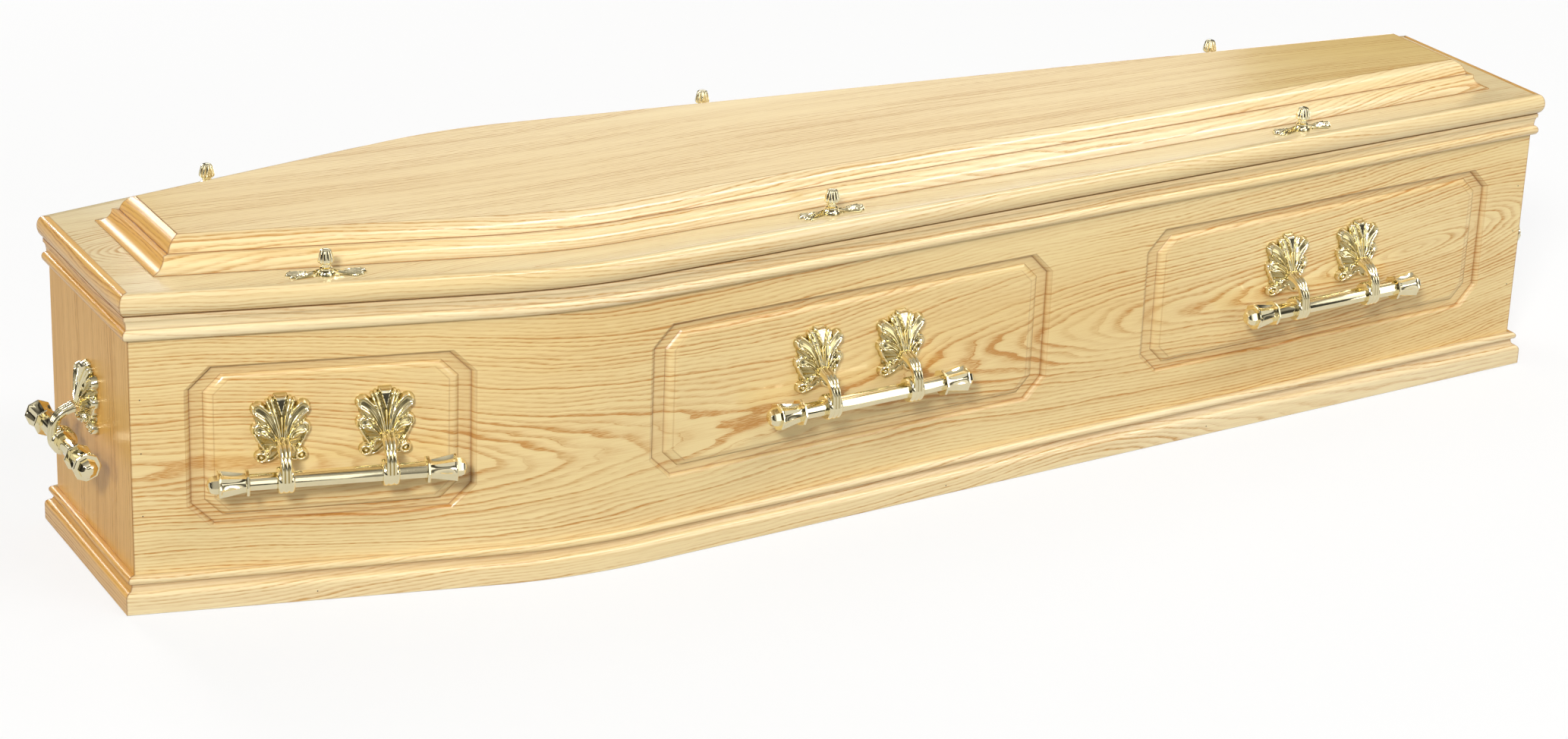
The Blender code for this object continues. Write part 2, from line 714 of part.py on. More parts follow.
def build_lid_screws():
    """Three winged plates with knobs along each side of the lid."""
    levels = (
        (1.0, 0.0, 0.0),
        (1.0, WING_EDGE_THICKNESS, WING_EDGE_THICKNESS),
        (WING_CROWN, WING_RIDGE_HEIGHT, WING_VALLEY_HEIGHT),
        (BOSS_SHARE, BOSS_HEIGHT, BOSS_HEIGHT),
    )
    plate = lobed_plate("lid_screw_plate", lobed_ring(WING_LOBES, 2), levels)
    knob = turned_mesh("lid_screw_knob", knob_profile())
    wing_along = Matrix.Rotation(-math.pi / 2, 4, "X") @ Matrix.Rotation(math.pi / 2, 4, "Y")
    for side_name, side in SIDES.items():
        for station, from_head in SCREWS_FROM_HEAD[side_name].items():
            on_head_run = from_head < SHOULDER_FROM_HEAD
            wall = "head_run" if on_head_run else "foot_run"
            along = from_head / HEAD_RUN.x if on_head_run else (from_head - SHOULDER_FROM_HEAD) / FOOT_RUN.x
            spot = wall_place(wall, side, along, LID_TOP + GAP, -SCREW_SET_IN)
            stem = f"{side_name}_{station}_lid_screw"
            new_object(f"{stem}_plate", plate, BRASS).matrix_world = spot @ wing_along
            on_boss = Matrix.Translation((0.0, 0.0, BOSS_HEIGHT + GAP))
            turned(f"{stem}_knob", knob, KNOB_SIDES, spot @ on_boss)


build_boards()
build_mouldings_and_lid()
build_handles()
build_lid_screws()
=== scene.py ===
import math

import bmesh
import bpy
import numpy
from mathutils import Matrix, Vector


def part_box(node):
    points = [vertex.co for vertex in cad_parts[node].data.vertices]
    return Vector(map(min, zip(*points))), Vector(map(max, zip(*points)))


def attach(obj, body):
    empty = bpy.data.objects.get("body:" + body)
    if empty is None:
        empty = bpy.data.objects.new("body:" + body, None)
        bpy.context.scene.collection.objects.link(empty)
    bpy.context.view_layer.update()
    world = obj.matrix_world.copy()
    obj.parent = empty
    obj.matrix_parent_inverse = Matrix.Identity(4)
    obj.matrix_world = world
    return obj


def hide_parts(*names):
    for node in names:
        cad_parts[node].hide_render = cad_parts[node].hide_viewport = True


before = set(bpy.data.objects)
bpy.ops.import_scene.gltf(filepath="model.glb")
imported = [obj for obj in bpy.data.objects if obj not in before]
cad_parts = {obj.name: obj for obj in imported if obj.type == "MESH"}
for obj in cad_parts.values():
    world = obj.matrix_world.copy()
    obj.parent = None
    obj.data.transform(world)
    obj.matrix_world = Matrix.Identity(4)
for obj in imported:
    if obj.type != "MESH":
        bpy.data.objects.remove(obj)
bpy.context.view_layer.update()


# The ends and the base: plain boards of oak-veneered fibreboard, lacquered satin. The ends are
# mitred to the sides and stand with their grain upright. The base lies between the walls.

def add_node(tree, kind, inputs=(), **settings):
    """A node with its settings. Each input, by name or number, is a value or another node's socket."""
    made = tree.nodes.new(kind)
    for setting, value in settings.items():
        setattr(made, setting, value)
    for key, value in dict(inputs).items():
        if isinstance(value, bpy.types.NodeSocket):
            tree.links.new(value, made.inputs[key])
        else:
            made.inputs[key].default_value = value
    return made


def maths(tree, operation, first, second=0.0):
    return add_node(tree, "ShaderNodeMath", {0: first, 1: second}, operation=operation).outputs[0]


def streaks(tree, vector, stretch, detail):
    """Noise drawn out along X: stretch is how often it changes in a metre along X and across."""
    along, across = stretch
    drawn = add_node(
        tree, "ShaderNodeVectorMath", {0: vector, 1: (along, across, across)}, operation="MULTIPLY",
    )
    return add_node(
        tree, "ShaderNodeTexNoise", {"Vector": drawn.outputs[0], "Scale": 1.0, "Detail": detail},
    ).outputs["Fac"]


def blend_colours(tree, share, first, second):
    mixed = add_node(tree, "ShaderNodeMix", {0: share, 6: first, 7: second}, data_type="RGBA")
    return mixed.outputs[2]


# How often each pattern of the oak changes in a metre, along the grain and across it
HEART_WANDER = (0.7, 0.35)
DEPTH_WANDER = (0.62, 0.5)
RING_WAVER = (4.0, 17.0)
RING_TREMBLE = (15.0, 75.0)
FIGURE_PATCHES = (2.1, 11.0)
PORES = (70.0, 1300.0)
SHADES = (2.2, 60.0)
FIBRES = (22.0, 520.0)
TONES = (0.9, 3.6)

# One year's ring, from its porous spring wood to the next: place in the ring and darkness
RING_SHADES = (
    (0.0, 0.75), (0.07, 1.0), (0.22, 0.78), (0.42, 0.22), (0.72, 0.0), (0.90, 0.10), (1.0, 0.75),
)
OAK_SMOOTHEST = 0.30
OAK_DULLER_IN_GRAIN = 0.16


def oak_grain_group():
    """Oak with its grain along X: growth rings cut near the heart of the log, fibres and pores.

    The board passes the heart at a depth that wanders, so the rings show as nested arches
    over the heart and as close straight lines away from it.
    """
    tree = bpy.data.node_groups.new("oak_grain", "ShaderNodeTree")
    for socket_name, kind in (
        ("Vector", "NodeSocketVector"), ("Light", "NodeSocketColor"), ("Honey", "NodeSocketColor"),
        ("Dark", "NodeSocketColor"), ("Joint And Painted Shade", "NodeSocketColor"), ("Heart", "NodeSocketFloat"),
        ("Arching", "NodeSocketFloat"), ("Ring Width", "NodeSocketFloat"), ("Figure", "NodeSocketFloat"),
        ("Recess", "NodeSocketFloat"),
    ):
        tree.interface.new_socket(socket_name, in_out="INPUT", socket_type=kind)
    for socket_name, kind in (
        ("Color", "NodeSocketColor"), ("Roughness", "NodeSocketFloat"), ("Height", "NodeSocketFloat"),
    ):
        tree.interface.new_socket(socket_name, in_out="OUTPUT", socket_type=kind)
    given = tree.nodes.new("NodeGroupInput").outputs
    vector = given["Vector"]

    def centred(stretch, detail, amount):
        drawn = maths(tree, "SUBTRACT", streaks(tree, vector, stretch, detail), 0.5)
        return maths(tree, "MULTIPLY", drawn, amount)

    across = add_node(tree, "ShaderNodeSeparateXYZ", {0: vector}).outputs[1]
    heart = maths(tree, "ADD", given["Heart"], centred(HEART_WANDER, 1.0, 0.26))
    from_heart = maths(tree, "SUBTRACT", across, heart)
    depth = maths(tree, "MULTIPLY", centred(DEPTH_WANDER, 0.5, 1.0), given["Arching"])
    squared_across = maths(tree, "MULTIPLY", from_heart, from_heart)
    squared = maths(tree, "ADD", squared_across, maths(tree, "MULTIPLY", depth, depth))
    waver = maths(tree, "ADD", centred(RING_WAVER, 2.0, 0.016), centred(RING_TREMBLE, 2.0, 0.0042))
    age = maths(tree, "DIVIDE", maths(tree, "ADD", maths(tree, "SQRT", squared), waver), given["Ring Width"])
    line = add_node(tree, "ShaderNodeValToRGB", {0: maths(tree, "FRACT", age)})
    elements = line.color_ramp.elements
    while len(elements) < len(RING_SHADES):
        elements.new(0.5)
    for element, (position, value) in zip(elements, RING_SHADES):
        element.position = position
        element.color = (value, value, value, 1.0)
    year = add_node(
        tree, "ShaderNodeTexWhiteNoise", {"W": maths(tree, "FLOOR", age)}, noise_dimensions="1D",
    ).outputs["Value"]
    season = maths(tree, "ADD", maths(tree, "MULTIPLY", maths(tree, "MULTIPLY", year, year), 0.95), 0.25)
    patch = maths(tree, "ADD", centred(FIGURE_PATCHES, 3.0, 3.4), 0.95)
    strength = maths(tree, "MULTIPLY", maths(tree, "MULTIPLY", season, patch), given["Figure"])
    pores = add_node(
        tree, "ShaderNodeMapRange",
        {"Value": streaks(tree, vector, PORES, 1.0), "From Min": 0.42, "From Max": 0.60},
    ).outputs[0]
    pore_share = maths(tree, "ADD", maths(tree, "MULTIPLY", pores, 0.75), 0.45)
    porous = maths(tree, "MULTIPLY", line.outputs[0], pore_share)
    rings = maths(tree, "MULTIPLY", porous, strength)
    darkness = maths(tree, "ADD", rings, centred(SHADES, 2.0, 0.55))
    darkness = maths(tree, "ADD", darkness, centred(FIBRES, 2.0, 0.50))
    darkness = add_node(tree, "ShaderNodeClamp", {"Value": maths(tree, "ADD", darkness, 0.04)}).outputs[0]
    tone = add_node(
        tree, "ShaderNodeMapRange",
        {"Value": streaks(tree, vector, TONES, 2.0), "From Min": 0.36, "From Max": 0.64},
    ).outputs[0]
    ground = blend_colours(tree, tone, given["Light"], given["Honey"])
    wood = blend_colours(tree, darkness, ground, given["Dark"])
    # The recess attribute mixes in the joint brown: stain along glued seams and in the channels, and painted
    # shade in crevices and under overhangs.
    joined = blend_colours(tree, given["Recess"], wood, given["Joint And Painted Shade"])
    dull = maths(tree, "ADD", maths(tree, "MULTIPLY", darkness, OAK_DULLER_IN_GRAIN), OAK_SMOOTHEST)
    height = maths(tree, "SUBTRACT", centred(FIBRES, 2.0, 0.5), maths(tree, "MULTIPLY", rings, 0.8))
    add_node(tree, "NodeGroupOutput", {"Color": joined, "Roughness": dull, "Height": height})
    return tree


OAK_GRAIN = oak_grain_group()
# Joint colour and painted shade: the brown that the recess attribute mixes into the oak, as stain in glued
# seams and as painted shade in quirks, channels, mitres and under overhangs.
JOINT_AND_PAINTED_SHADE_BROWN = (0.33, 0.120, 0.022, 1.0)
LACQUER_ROUGHNESS = 0.15
GRAIN_DEPTH = 0.00010
RING_WIDTH = 0.0046


def oak_material(name, light, honey, dark, heart, arching, figure, coat, upright=False):
    """Lacquered oak. The grain follows the piece's own map, or stands upright in space."""
    material = bpy.data.materials.new(name)
    material.use_nodes = True
    tree = material.node_tree
    shader = tree.nodes["Principled BSDF"]
    if upright:
        spot = add_node(tree, "ShaderNodeTexCoord").outputs["Object"]
        parts = add_node(tree, "ShaderNodeSeparateXYZ", {0: spot}).outputs
        vector = add_node(tree, "ShaderNodeCombineXYZ", {0: parts[2], 1: parts[1], 2: parts[0]}).outputs[0]
    else:
        vector = add_node(tree, "ShaderNodeUVMap", uv_map="grain").outputs[0]
    grain = add_node(tree, "ShaderNodeGroup", node_tree=OAK_GRAIN)
    tree.links.new(vector, grain.inputs["Vector"])
    grain.inputs["Light"].default_value = (*light, 1.0)
    grain.inputs["Honey"].default_value = (*honey, 1.0)
    grain.inputs["Dark"].default_value = (*dark, 1.0)
    grain.inputs["Joint And Painted Shade"].default_value = JOINT_AND_PAINTED_SHADE_BROWN
    grain.inputs["Heart"].default_value = heart
    grain.inputs["Arching"].default_value = arching
    grain.inputs["Ring Width"].default_value = RING_WIDTH
    grain.inputs["Figure"].default_value = figure
    # The recess attribute carries the painted shade and the seam stain.
    recess = add_node(tree, "ShaderNodeAttribute", attribute_name="recess")
    tree.links.new(recess.outputs["Fac"], grain.inputs["Recess"])
    bump = add_node(tree, "ShaderNodeBump", {"Height": grain.outputs["Height"], "Distance": GRAIN_DEPTH})
    tree.links.new(grain.outputs["Color"], shader.inputs["Base Color"])
    tree.links.new(grain.outputs["Roughness"], shader.inputs["Roughness"])
    tree.links.new(bump.outputs["Normal"], shader.inputs["Normal"])
    shader.inputs["Coat Weight"].default_value = coat
    shader.inputs["Coat Roughness"].default_value = LACQUER_ROUGHNESS
    return material


END_OAK = oak_material(
    "end_oak", (0.86, 0.50, 0.125), (0.78, 0.42, 0.090), (0.50, 0.22, 0.035),
    heart=0.9, arching=0.2, figure=0.95, coat=0.0, upright=True,
)
for plain_board in ("head_board", "foot_board", "base_board"):
    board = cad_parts[plain_board]
    board.data.materials.clear()
    board.data.materials.append(END_OAK)


# The two side boards: each is one long oak-veneered board, saw-kerfed on its inner face and bent
# round the shoulder. A router has sunk three eight-sided channels into it, each round a flush
# field, and the whole face is lacquered.

JOINT = 0.0003
BODY_LENGTH = 2.0
HEAD_WIDTH = 0.278
SHOULDER_WIDTH = 0.507
FOOT_WIDTH = 0.290
SHOULDER_FROM_HEAD = 0.507
BEND_RADIUS = 0.66
BEND_STEPS = 16
BEND_LEAD = 0.004
HEAD_CORNER = Vector((-BODY_LENGTH / 2, HEAD_WIDTH / 2))
SHOULDER = Vector((SHOULDER_FROM_HEAD - BODY_LENGTH / 2, SHOULDER_WIDTH / 2))
FOOT_CORNER = Vector((BODY_LENGTH / 2, FOOT_WIDTH / 2))
HEAD_RUN = (SHOULDER - HEAD_CORNER).normalized()
FOOT_RUN = (FOOT_CORNER - SHOULDER).normalized()
HEAD_NORMAL = Vector((-HEAD_RUN.y, HEAD_RUN.x))
FOOT_NORMAL = Vector((-FOOT_RUN.y, FOOT_RUN.x))
BEND_ANGLE = HEAD_NORMAL.angle(FOOT_NORMAL)
BEND_TANGENT = BEND_RADIUS * math.tan(BEND_ANGLE / 2)
BEND_CENTRE = SHOULDER - (HEAD_NORMAL + FOOT_NORMAL) * (BEND_RADIUS / (1 + HEAD_NORMAL.dot(FOOT_NORMAL)))
BEND_START = (SHOULDER - HEAD_CORNER).length - BEND_TANGENT
BEND_LENGTH = BEND_RADIUS * BEND_ANGLE
BEND_END_SPOT = BEND_CENTRE + FOOT_NORMAL * BEND_RADIUS
# Painted shade at both ends of each mitred run, standing for the shaded gap of the mitre: its width and how
# dark it is.
MITRE_SHADE_WIDTH = 0.0016
MITRE_SHADE = 0.75
SIDES = {"near": -1, "far": 1}
FACET_ANGLE = math.radians(24)
BEND_TURN = math.radians(2.5)
BROAD_FACE = 0.002


def board_distance(spot):
    """How far along a side a plan point lies, measured on the outer face from the head corner."""
    before = (spot - HEAD_CORNER).dot(HEAD_RUN)
    after = (spot - BEND_END_SPOT).dot(FOOT_RUN)
    if before < BEND_START:
        return before
    if after > 0.0:
        return BEND_START + BEND_LENGTH + after
    reach = (spot - BEND_CENTRE).normalized()
    return BEND_START + BEND_RADIUS * HEAD_NORMAL.angle(reach)


def side_stations(offset):
    """Plan points of one side, a distance outside its board, from mitre to mitre."""
    head = HEAD_CORNER + Vector((-offset, offset * (1 + HEAD_NORMAL.x) / HEAD_NORMAL.y)) + HEAD_RUN * JOINT
    foot = FOOT_CORNER + Vector((offset, offset * (1 - FOOT_NORMAL.x) / FOOT_NORMAL.y)) - FOOT_RUN * JOINT
    reach = BEND_RADIUS + offset
    bend = []
    first = math.atan2(HEAD_NORMAL.y, HEAD_NORMAL.x)
    for step in range(BEND_STEPS + 1):
        angle = first - BEND_ANGLE * step / BEND_STEPS
        bend.append(BEND_CENTRE + Vector((math.cos(angle), math.sin(angle))) * reach)
    lead_in = bend[0] - HEAD_RUN * BEND_LEAD
    lead_out = bend[-1] + FOOT_RUN * BEND_LEAD
    near_head = head + HEAD_RUN * MITRE_SHADE_WIDTH
    near_foot = foot - FOOT_RUN * MITRE_SHADE_WIDTH
    return [head, near_head, lead_in, *bend, lead_out, near_foot, foot]


def closed_mesh(bm, name, material, angle=FACET_ANGLE):
    """A mesh of a closed bmesh, faces outwards, smooth where it turns less than an angle.

    Where a face as large as a flat board meets another at more than a bend's small angle, the
    edge stays sharp too, so the board's shading isn't drawn off flat.
    """
    bmesh.ops.recalc_face_normals(bm, faces=bm.faces)
    for face in bm.faces:
        face.smooth = True
    for edge in bm.edges:
        turn = edge.calc_face_angle(math.pi)
        broad = max(face.calc_area() for face in edge.link_faces) > BROAD_FACE
        edge.smooth = turn < (BEND_TURN if broad else angle)
    mesh = bpy.data.meshes.new(name)
    bm.to_mesh(mesh)
    bm.free()
    mesh.materials.clear()
    mesh.materials.append(material)
    return mesh


def sweep(name, rows, distances, profile, shift, material):
    """A solid through rows of points, with its grain map drawn along the rows."""
    bm = bmesh.new()
    grain = bm.loops.layers.uv.new("grain")
    stain_and_painted_shade = bm.verts.layers.float.new("recess")
    rings = []
    for index, row in enumerate(rows):
        # The end rings take the mitre's painted shade, and each point takes its profile point's darkening:
        # painted shade in crevices, stain along glued seams.
        mitre = MITRE_SHADE if index in (0, len(rows) - 1) else 0.0
        ring = [bm.verts.new(point) for point in row]
        for corner, (out, up, shade) in zip(ring, profile):
            corner[stain_and_painted_shade] = max(shade, mitre)
        rings.append(ring)
    around = [0.0]
    flat = [(out, up) for out, up, shade in profile]
    for (out, up), (next_out, next_up) in zip(flat, flat[1:] + flat[:1]):
        around.append(around[-1] + math.hypot(next_out - out, next_up - up))
    count = len(profile)
    for index in range(len(rows) - 1):
        for i in range(count):
            j = (i + 1) % count
            spots = ((index, i, i), (index, j, i + 1), (index + 1, j, i + 1), (index + 1, i, i))
            face = bm.faces.new([rings[row][column] for row, column, step in spots])
            for loop, (row, column, step) in zip(face.loops, spots):
                loop[grain].uv = (distances[row][column] + shift[0], around[step] + shift[1])
    for ring in (rings[0], rings[-1]):
        for loop in bm.faces.new(ring).loops:
            loop[grain].uv = (loop.vert.co.z + shift[0], loop.vert.co.y + shift[1])
    return closed_mesh(bm, name, material)


def side_run(name, profile, side, shift, material):
    """A length of a profile along one side, bent at the shoulder and mitred at both ends."""
    columns = [side_stations(out) for out, up, shade in profile]
    rows = []
    distances = []
    for stations in zip(*columns):
        row = [Vector((spot.x, side * spot.y, up)) for spot, (out, up, shade) in zip(stations, profile)]
        rows.append(row)
        distances.append([board_distance(spot) for spot in stations])
    return sweep(name, rows, distances, profile, shift, material)


def fixed(name, mesh, node):
    """A finished piece that stands for a node of the frame and takes its place."""
    piece = bpy.data.objects.new(name, mesh)
    bpy.context.scene.collection.objects.link(piece)
    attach(piece, "root")
    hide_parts(node)
    return piece


def wall_place(wall, side, along, height, out=0.0):
    """A matrix at a spot on a wall: X along it, -Y straight out of it, Z up."""
    if wall in ("head_end", "foot_end"):
        end = -1 if wall == "head_end" else 1
        spot = Vector((end * (BODY_LENGTH / 2 + out), along))
        turn = end * math.pi / 2
    else:
        on_head_run = wall == "head_run"
        run = HEAD_RUN if on_head_run else FOOT_RUN
        flat = (HEAD_CORNER if on_head_run else SHOULDER) + run * along
        flat += (HEAD_NORMAL if on_head_run else FOOT_NORMAL) * out
        spot = Vector((flat.x, side * flat.y))
        slope = math.atan2(run.y, run.x)
        turn = -slope if side < 0 else math.pi + slope
    return Matrix.Translation((spot.x, spot.y, height)) @ Matrix.Rotation(turn, 4, "Z")


WALL_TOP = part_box("near_side_board")[1].z
WALL_THICKNESS = 0.018
PANEL_BOTTOM = 0.098
PANEL_TOP = 0.298
PANEL_FROM_HEAD_END = 0.062
PANEL_FROM_FOOT_END = 0.068
HEAD_PANEL_FROM_BEND = 0.021
MIDDLE_PANEL_FROM_BEND = 0.003
PANEL_SPACING = 0.150
PANEL_CORNER_CUT = 0.028
CHANNEL_WIDTH_AT_ENDS = 0.036
CHANNEL_WIDTH_AT_EDGES = 0.021
CHANNEL_DEPTH = 0.006
CUTTER_RISE = 0.002

# The channel from its outer edge in: share of the width, share of the depth, and how dark it is coloured
# there, partly real stain pooled in the cut and partly painted shade on the steep lip and in the floor's
# corners.
# The cutter leaves a rounded lip, a flat floor, a wide bevel and a small step up to the field.
CHANNEL_SECTION = (
    (0.000, 0.00, 0.00),
    (0.008, 0.06, 0.35),
    (0.030, 0.11, 0.18),
    (0.060, 0.18, 0.18),
    (0.090, 0.30, 0.20),
    (0.118, 0.46, 0.24),
    (0.140, 0.64, 0.34),
    (0.156, 0.84, 0.50),
    (0.166, 1.00, 0.80),
    (0.205, 1.00, 0.26),
    (0.270, 1.00, 0.14),
    (0.580, 1.00, 0.10),
    (0.600, 1.00, 0.75),
    (0.612, 0.93, 0.35),
    (0.640, 0.77, 0.12),
    (0.680, 0.58, 0.04),
    (0.730, 0.40, 0.00),
    (0.780, 0.28, 0.00),
    (0.830, 0.20, 0.00),
    (0.880, 0.15, 0.02),
    (0.912, 0.12, 0.28),
    (0.922, 0.05, 0.22),
    (0.950, 0.015, 0.00),
    (1.000, 0.00, 0.00),
)

SIDE_OAK = oak_material(
    "side_oak", (0.92, 0.745, 0.385), (0.87, 0.65, 0.285), (0.60, 0.285, 0.060),
    heart=0.19, arching=0.62, figure=1.55, coat=0.66,
)
FAR_BOARD_SHIFT = 3.0
CORNER_NARROWING = 2 - math.sqrt(2)


def side_panels():
    """Wall, first edge and last edge of each routed panel, along its wall."""
    head_end = (SHOULDER - HEAD_CORNER).length - BEND_TANGENT - HEAD_PANEL_FROM_BEND
    foot_start = BEND_TANGENT + MIDDLE_PANEL_FROM_BEND
    foot_end = (FOOT_CORNER - SHOULDER).length - PANEL_FROM_FOOT_END
    length = (foot_end - foot_start - PANEL_SPACING) / 2
    return {
        "head": ("head_run", PANEL_FROM_HEAD_END, head_end),
        "middle": ("foot_run", foot_start, foot_start + length),
        "foot": ("foot_run", foot_end - length, foot_end),
    }


def channel_cutter(half_length, half_height, place):
    """The eight-sided ring that the router takes away."""
    section = [(share, -depth * CHANNEL_DEPTH) for share, depth, stain_and_painted_shade in CHANNEL_SECTION]
    bm = bmesh.new()
    rings = []
    for share, rise in ((0.0, CUTTER_RISE), *section, (1.0, CUTTER_RISE)):
        across = half_length - share * CHANNEL_WIDTH_AT_ENDS
        up = half_height - share * CHANNEL_WIDTH_AT_EDGES
        corner = PANEL_CORNER_CUT - share * CHANNEL_WIDTH_AT_EDGES * CORNER_NARROWING
        ring = []
        for sign_x, sign_z in ((1, 1), (1, -1), (-1, -1), (-1, 1)):
            on_edge = Vector((sign_x * (across - corner), -rise, sign_z * up))
            on_end = Vector((sign_x * across, -rise, sign_z * (up - corner)))
            ring += [on_edge, on_end] if sign_x * sign_z > 0 else [on_end, on_edge]
        rings.append([bm.verts.new(place @ point) for point in ring])
    for ring, following in zip(rings, rings[1:] + rings[:1]):
        for i, corner in enumerate(ring):
            j = (i + 1) % len(ring)
            bm.faces.new((corner, ring[j], following[j], following[i]))
    cutter = bpy.data.objects.new("channel_cutter", closed_mesh(bm, "channel_cutter", SIDE_OAK))
    bpy.context.scene.collection.objects.link(cutter)
    return cutter


def channel_share(spot, half_length, half_height):
    """How far in a point is from a panel's outer edge, as a share of the channel's width."""
    across = (half_length - abs(spot.x)) / CHANNEL_WIDTH_AT_ENDS
    up = (half_height - abs(spot.z)) / CHANNEL_WIDTH_AT_EDGES
    beyond_corner = half_length + half_height - PANEL_CORNER_CUT - abs(spot.x) - abs(spot.z)
    cut_in = CHANNEL_WIDTH_AT_ENDS + CHANNEL_WIDTH_AT_EDGES - CHANNEL_WIDTH_AT_EDGES * CORNER_NARROWING
    return min(across, up, beyond_corner / cut_in)


def channel_stain_and_painted_shade(share):
    """How dark the channel is coloured at a share of its width, from its section: pooled stain and painted
    shade.
    """
    stains_and_painted_shades = [(place, stain_and_painted_shade) for place, depth, stain_and_painted_shade in CHANNEL_SECTION]
    for (low, low_stain_and_shade), (high, high_stain_and_shade) in zip(stains_and_painted_shades, stains_and_painted_shades[1:]):
        if low <= share <= high:
            return low_stain_and_shade + (high_stain_and_shade - low_stain_and_shade) * (share - low) / (high - low)
    return 0.0


def routed_side(side_name, side):
    """A bent side board with its three routed channels, its grain map, and stain and painted shade in its
    channels.
    """
    profile = [
        (0.0, 0.0, 0.0), (0.0, WALL_TOP, 0.0),
        (-WALL_THICKNESS, WALL_TOP, 0.0), (-WALL_THICKNESS, 0.0, 0.0),
    ]
    blank_mesh = side_run(f"{side_name}_blank", profile, side, (0.0, 0.0), SIDE_OAK)
    blank = bpy.data.objects.new(f"{side_name}_blank", blank_mesh)
    bpy.context.scene.collection.objects.link(blank)
    middle_height = (PANEL_BOTTOM + PANEL_TOP) / 2
    half_height = (PANEL_TOP - PANEL_BOTTOM) / 2
    panels = []
    cutters = []
    for wall, first, last in side_panels().values():
        place = wall_place(wall, side, (first + last) / 2, middle_height)
        panels.append((place.inverted(), (last - first) / 2))
        cutters.append(channel_cutter((last - first) / 2, half_height, place))
        routing = blank.modifiers.new("Routing", "BOOLEAN")
        routing.solver = "EXACT"
        routing.object = cutters[-1]
    evaluated = blank.evaluated_get(bpy.context.evaluated_depsgraph_get())
    bm = bmesh.new()
    bm.from_mesh(bpy.data.meshes.new_from_object(evaluated))
    for used in (blank, *cutters):
        bpy.data.objects.remove(used)
    grain = bm.loops.layers.uv.get("grain") or bm.loops.layers.uv.new("grain")
    stain_and_painted_shade = bm.verts.layers.float.get("recess") or bm.verts.layers.float.new("recess")
    for corner in bm.verts:
        for to_panel, half_length in panels:
            spot = to_panel @ corner.co
            share = channel_share(spot, half_length, half_height)
            # Points in a channel are darkened from its section: real stain on the floor, painted shade on the
            # lip and in the corners.
            if 0.0 < share < 1.0 and -JOINT < spot.y < CHANNEL_DEPTH + JOINT:
                corner[stain_and_painted_shade] = channel_stain_and_painted_shade(share)
    for face in bm.faces:
        for loop in face.loops:
            spot = loop.vert.co
            distance = board_distance(Vector((spot.x, abs(spot.y))))
            loop[grain].uv = (distance + (FAR_BOARD_SHIFT if side > 0 else 0.0), spot.z)
    mesh = closed_mesh(bm, f"{side_name}_side_board_veneered", SIDE_OAK)
    fixed(f"{side_name}_side_board_veneered", mesh, f"{side_name}_side_board")


for side_name, side in SIDES.items():
    routed_side(side_name, side)


# The plinth: a solid oak moulding glued and pinned round the foot of the walls, mitred at its
# four corners and bent with the sides. It has a tall flat, a rounded shoulder, a hollow and a bead.

MOULDING_OAK = oak_material(
    "moulding_oak", (0.96, 0.81, 0.50), (0.90, 0.70, 0.34), (0.60, 0.31, 0.075),
    heart=0.06, arching=0.5, figure=1.05, coat=1.0,
)
END_MOULDING_OAK = oak_material(
    "end_moulding_oak", (0.90, 0.54, 0.155), (0.82, 0.46, 0.105), (0.52, 0.22, 0.035),
    heart=0.02, arching=0.5, figure=1.20, coat=0.40,
)
STOCK_LENGTH = 4.0
END_STOCK_LENGTH = 1.3
END_STOCK_FROM_HEART = 0.4
ROUND_STEPS = 8
BEAD_STEPS = 12


def arc(centre, radii, start, end, steps, shades=(0.0, 0.0)):
    """Points on an ellipse between two angles in degrees, with painted shade at the first and the last."""
    points = []
    for step in range(steps + 1):
        angle = math.radians(start + (end - start) * step / steps)
        shade = shades[0] if step == 0 else shades[1] if step == steps else 0.0
        out = centre[0] + radii[0] * math.cos(angle)
        up = centre[1] + radii[1] * math.sin(angle)
        points.append((out, up, shade))
    return points


def end_run(name, profile, end, shift, material):
    """A length of a profile across the head (0) or the foot (-1), mitred at both ends."""
    corners = [side_stations(out)[end] for out, up, shade in profile]
    rows = []
    distances = []
    for sign, inset in ((-1, 0.0), (-1, MITRE_SHADE_WIDTH), (1, MITRE_SHADE_WIDTH), (1, 0.0)):
        row = [
            Vector((corner.x, sign * (corner.y - JOINT - inset), up))
            for corner, (out, up, shade) in zip(corners, profile)
        ]
        rows.append(row)
        distances.append([point.y for point in row])
    return sweep(name, rows, distances, profile, shift, material)


def moulding_ring(stem, profile, shift, from_heart):
    """The four lengths of a moulding that go round the coffin, each from its own part of the stock."""
    for number, (side_name, side) in enumerate(SIDES.items()):
        name = f"{stem}_{side_name}_run"
        mesh = side_run(name, profile, side, (shift + STOCK_LENGTH * number, from_heart), MOULDING_OAK)
        fixed(name, mesh, f"{stem}_{side_name}")
    for number, (end_name, end) in enumerate((("head", 0), ("foot", -1))):
        name = f"{stem}_{end_name}_run"
        stock = (shift + END_STOCK_LENGTH * number, shift + END_STOCK_FROM_HEART)
        mesh = end_run(name, profile, end, stock, END_MOULDING_OAK)
        fixed(name, mesh, f"{stem}_{end_name}")


PLINTH_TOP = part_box("plinth_moulding_near")[1].z
PLINTH_PROJECTION = 0.014
PLINTH_FLAT_HEIGHT = 0.020
PLINTH_SHOULDER = 0.007
PLINTH_NECK = 0.0045
PLINTH_BEAD = 0.0050
ARRIS = 0.0008


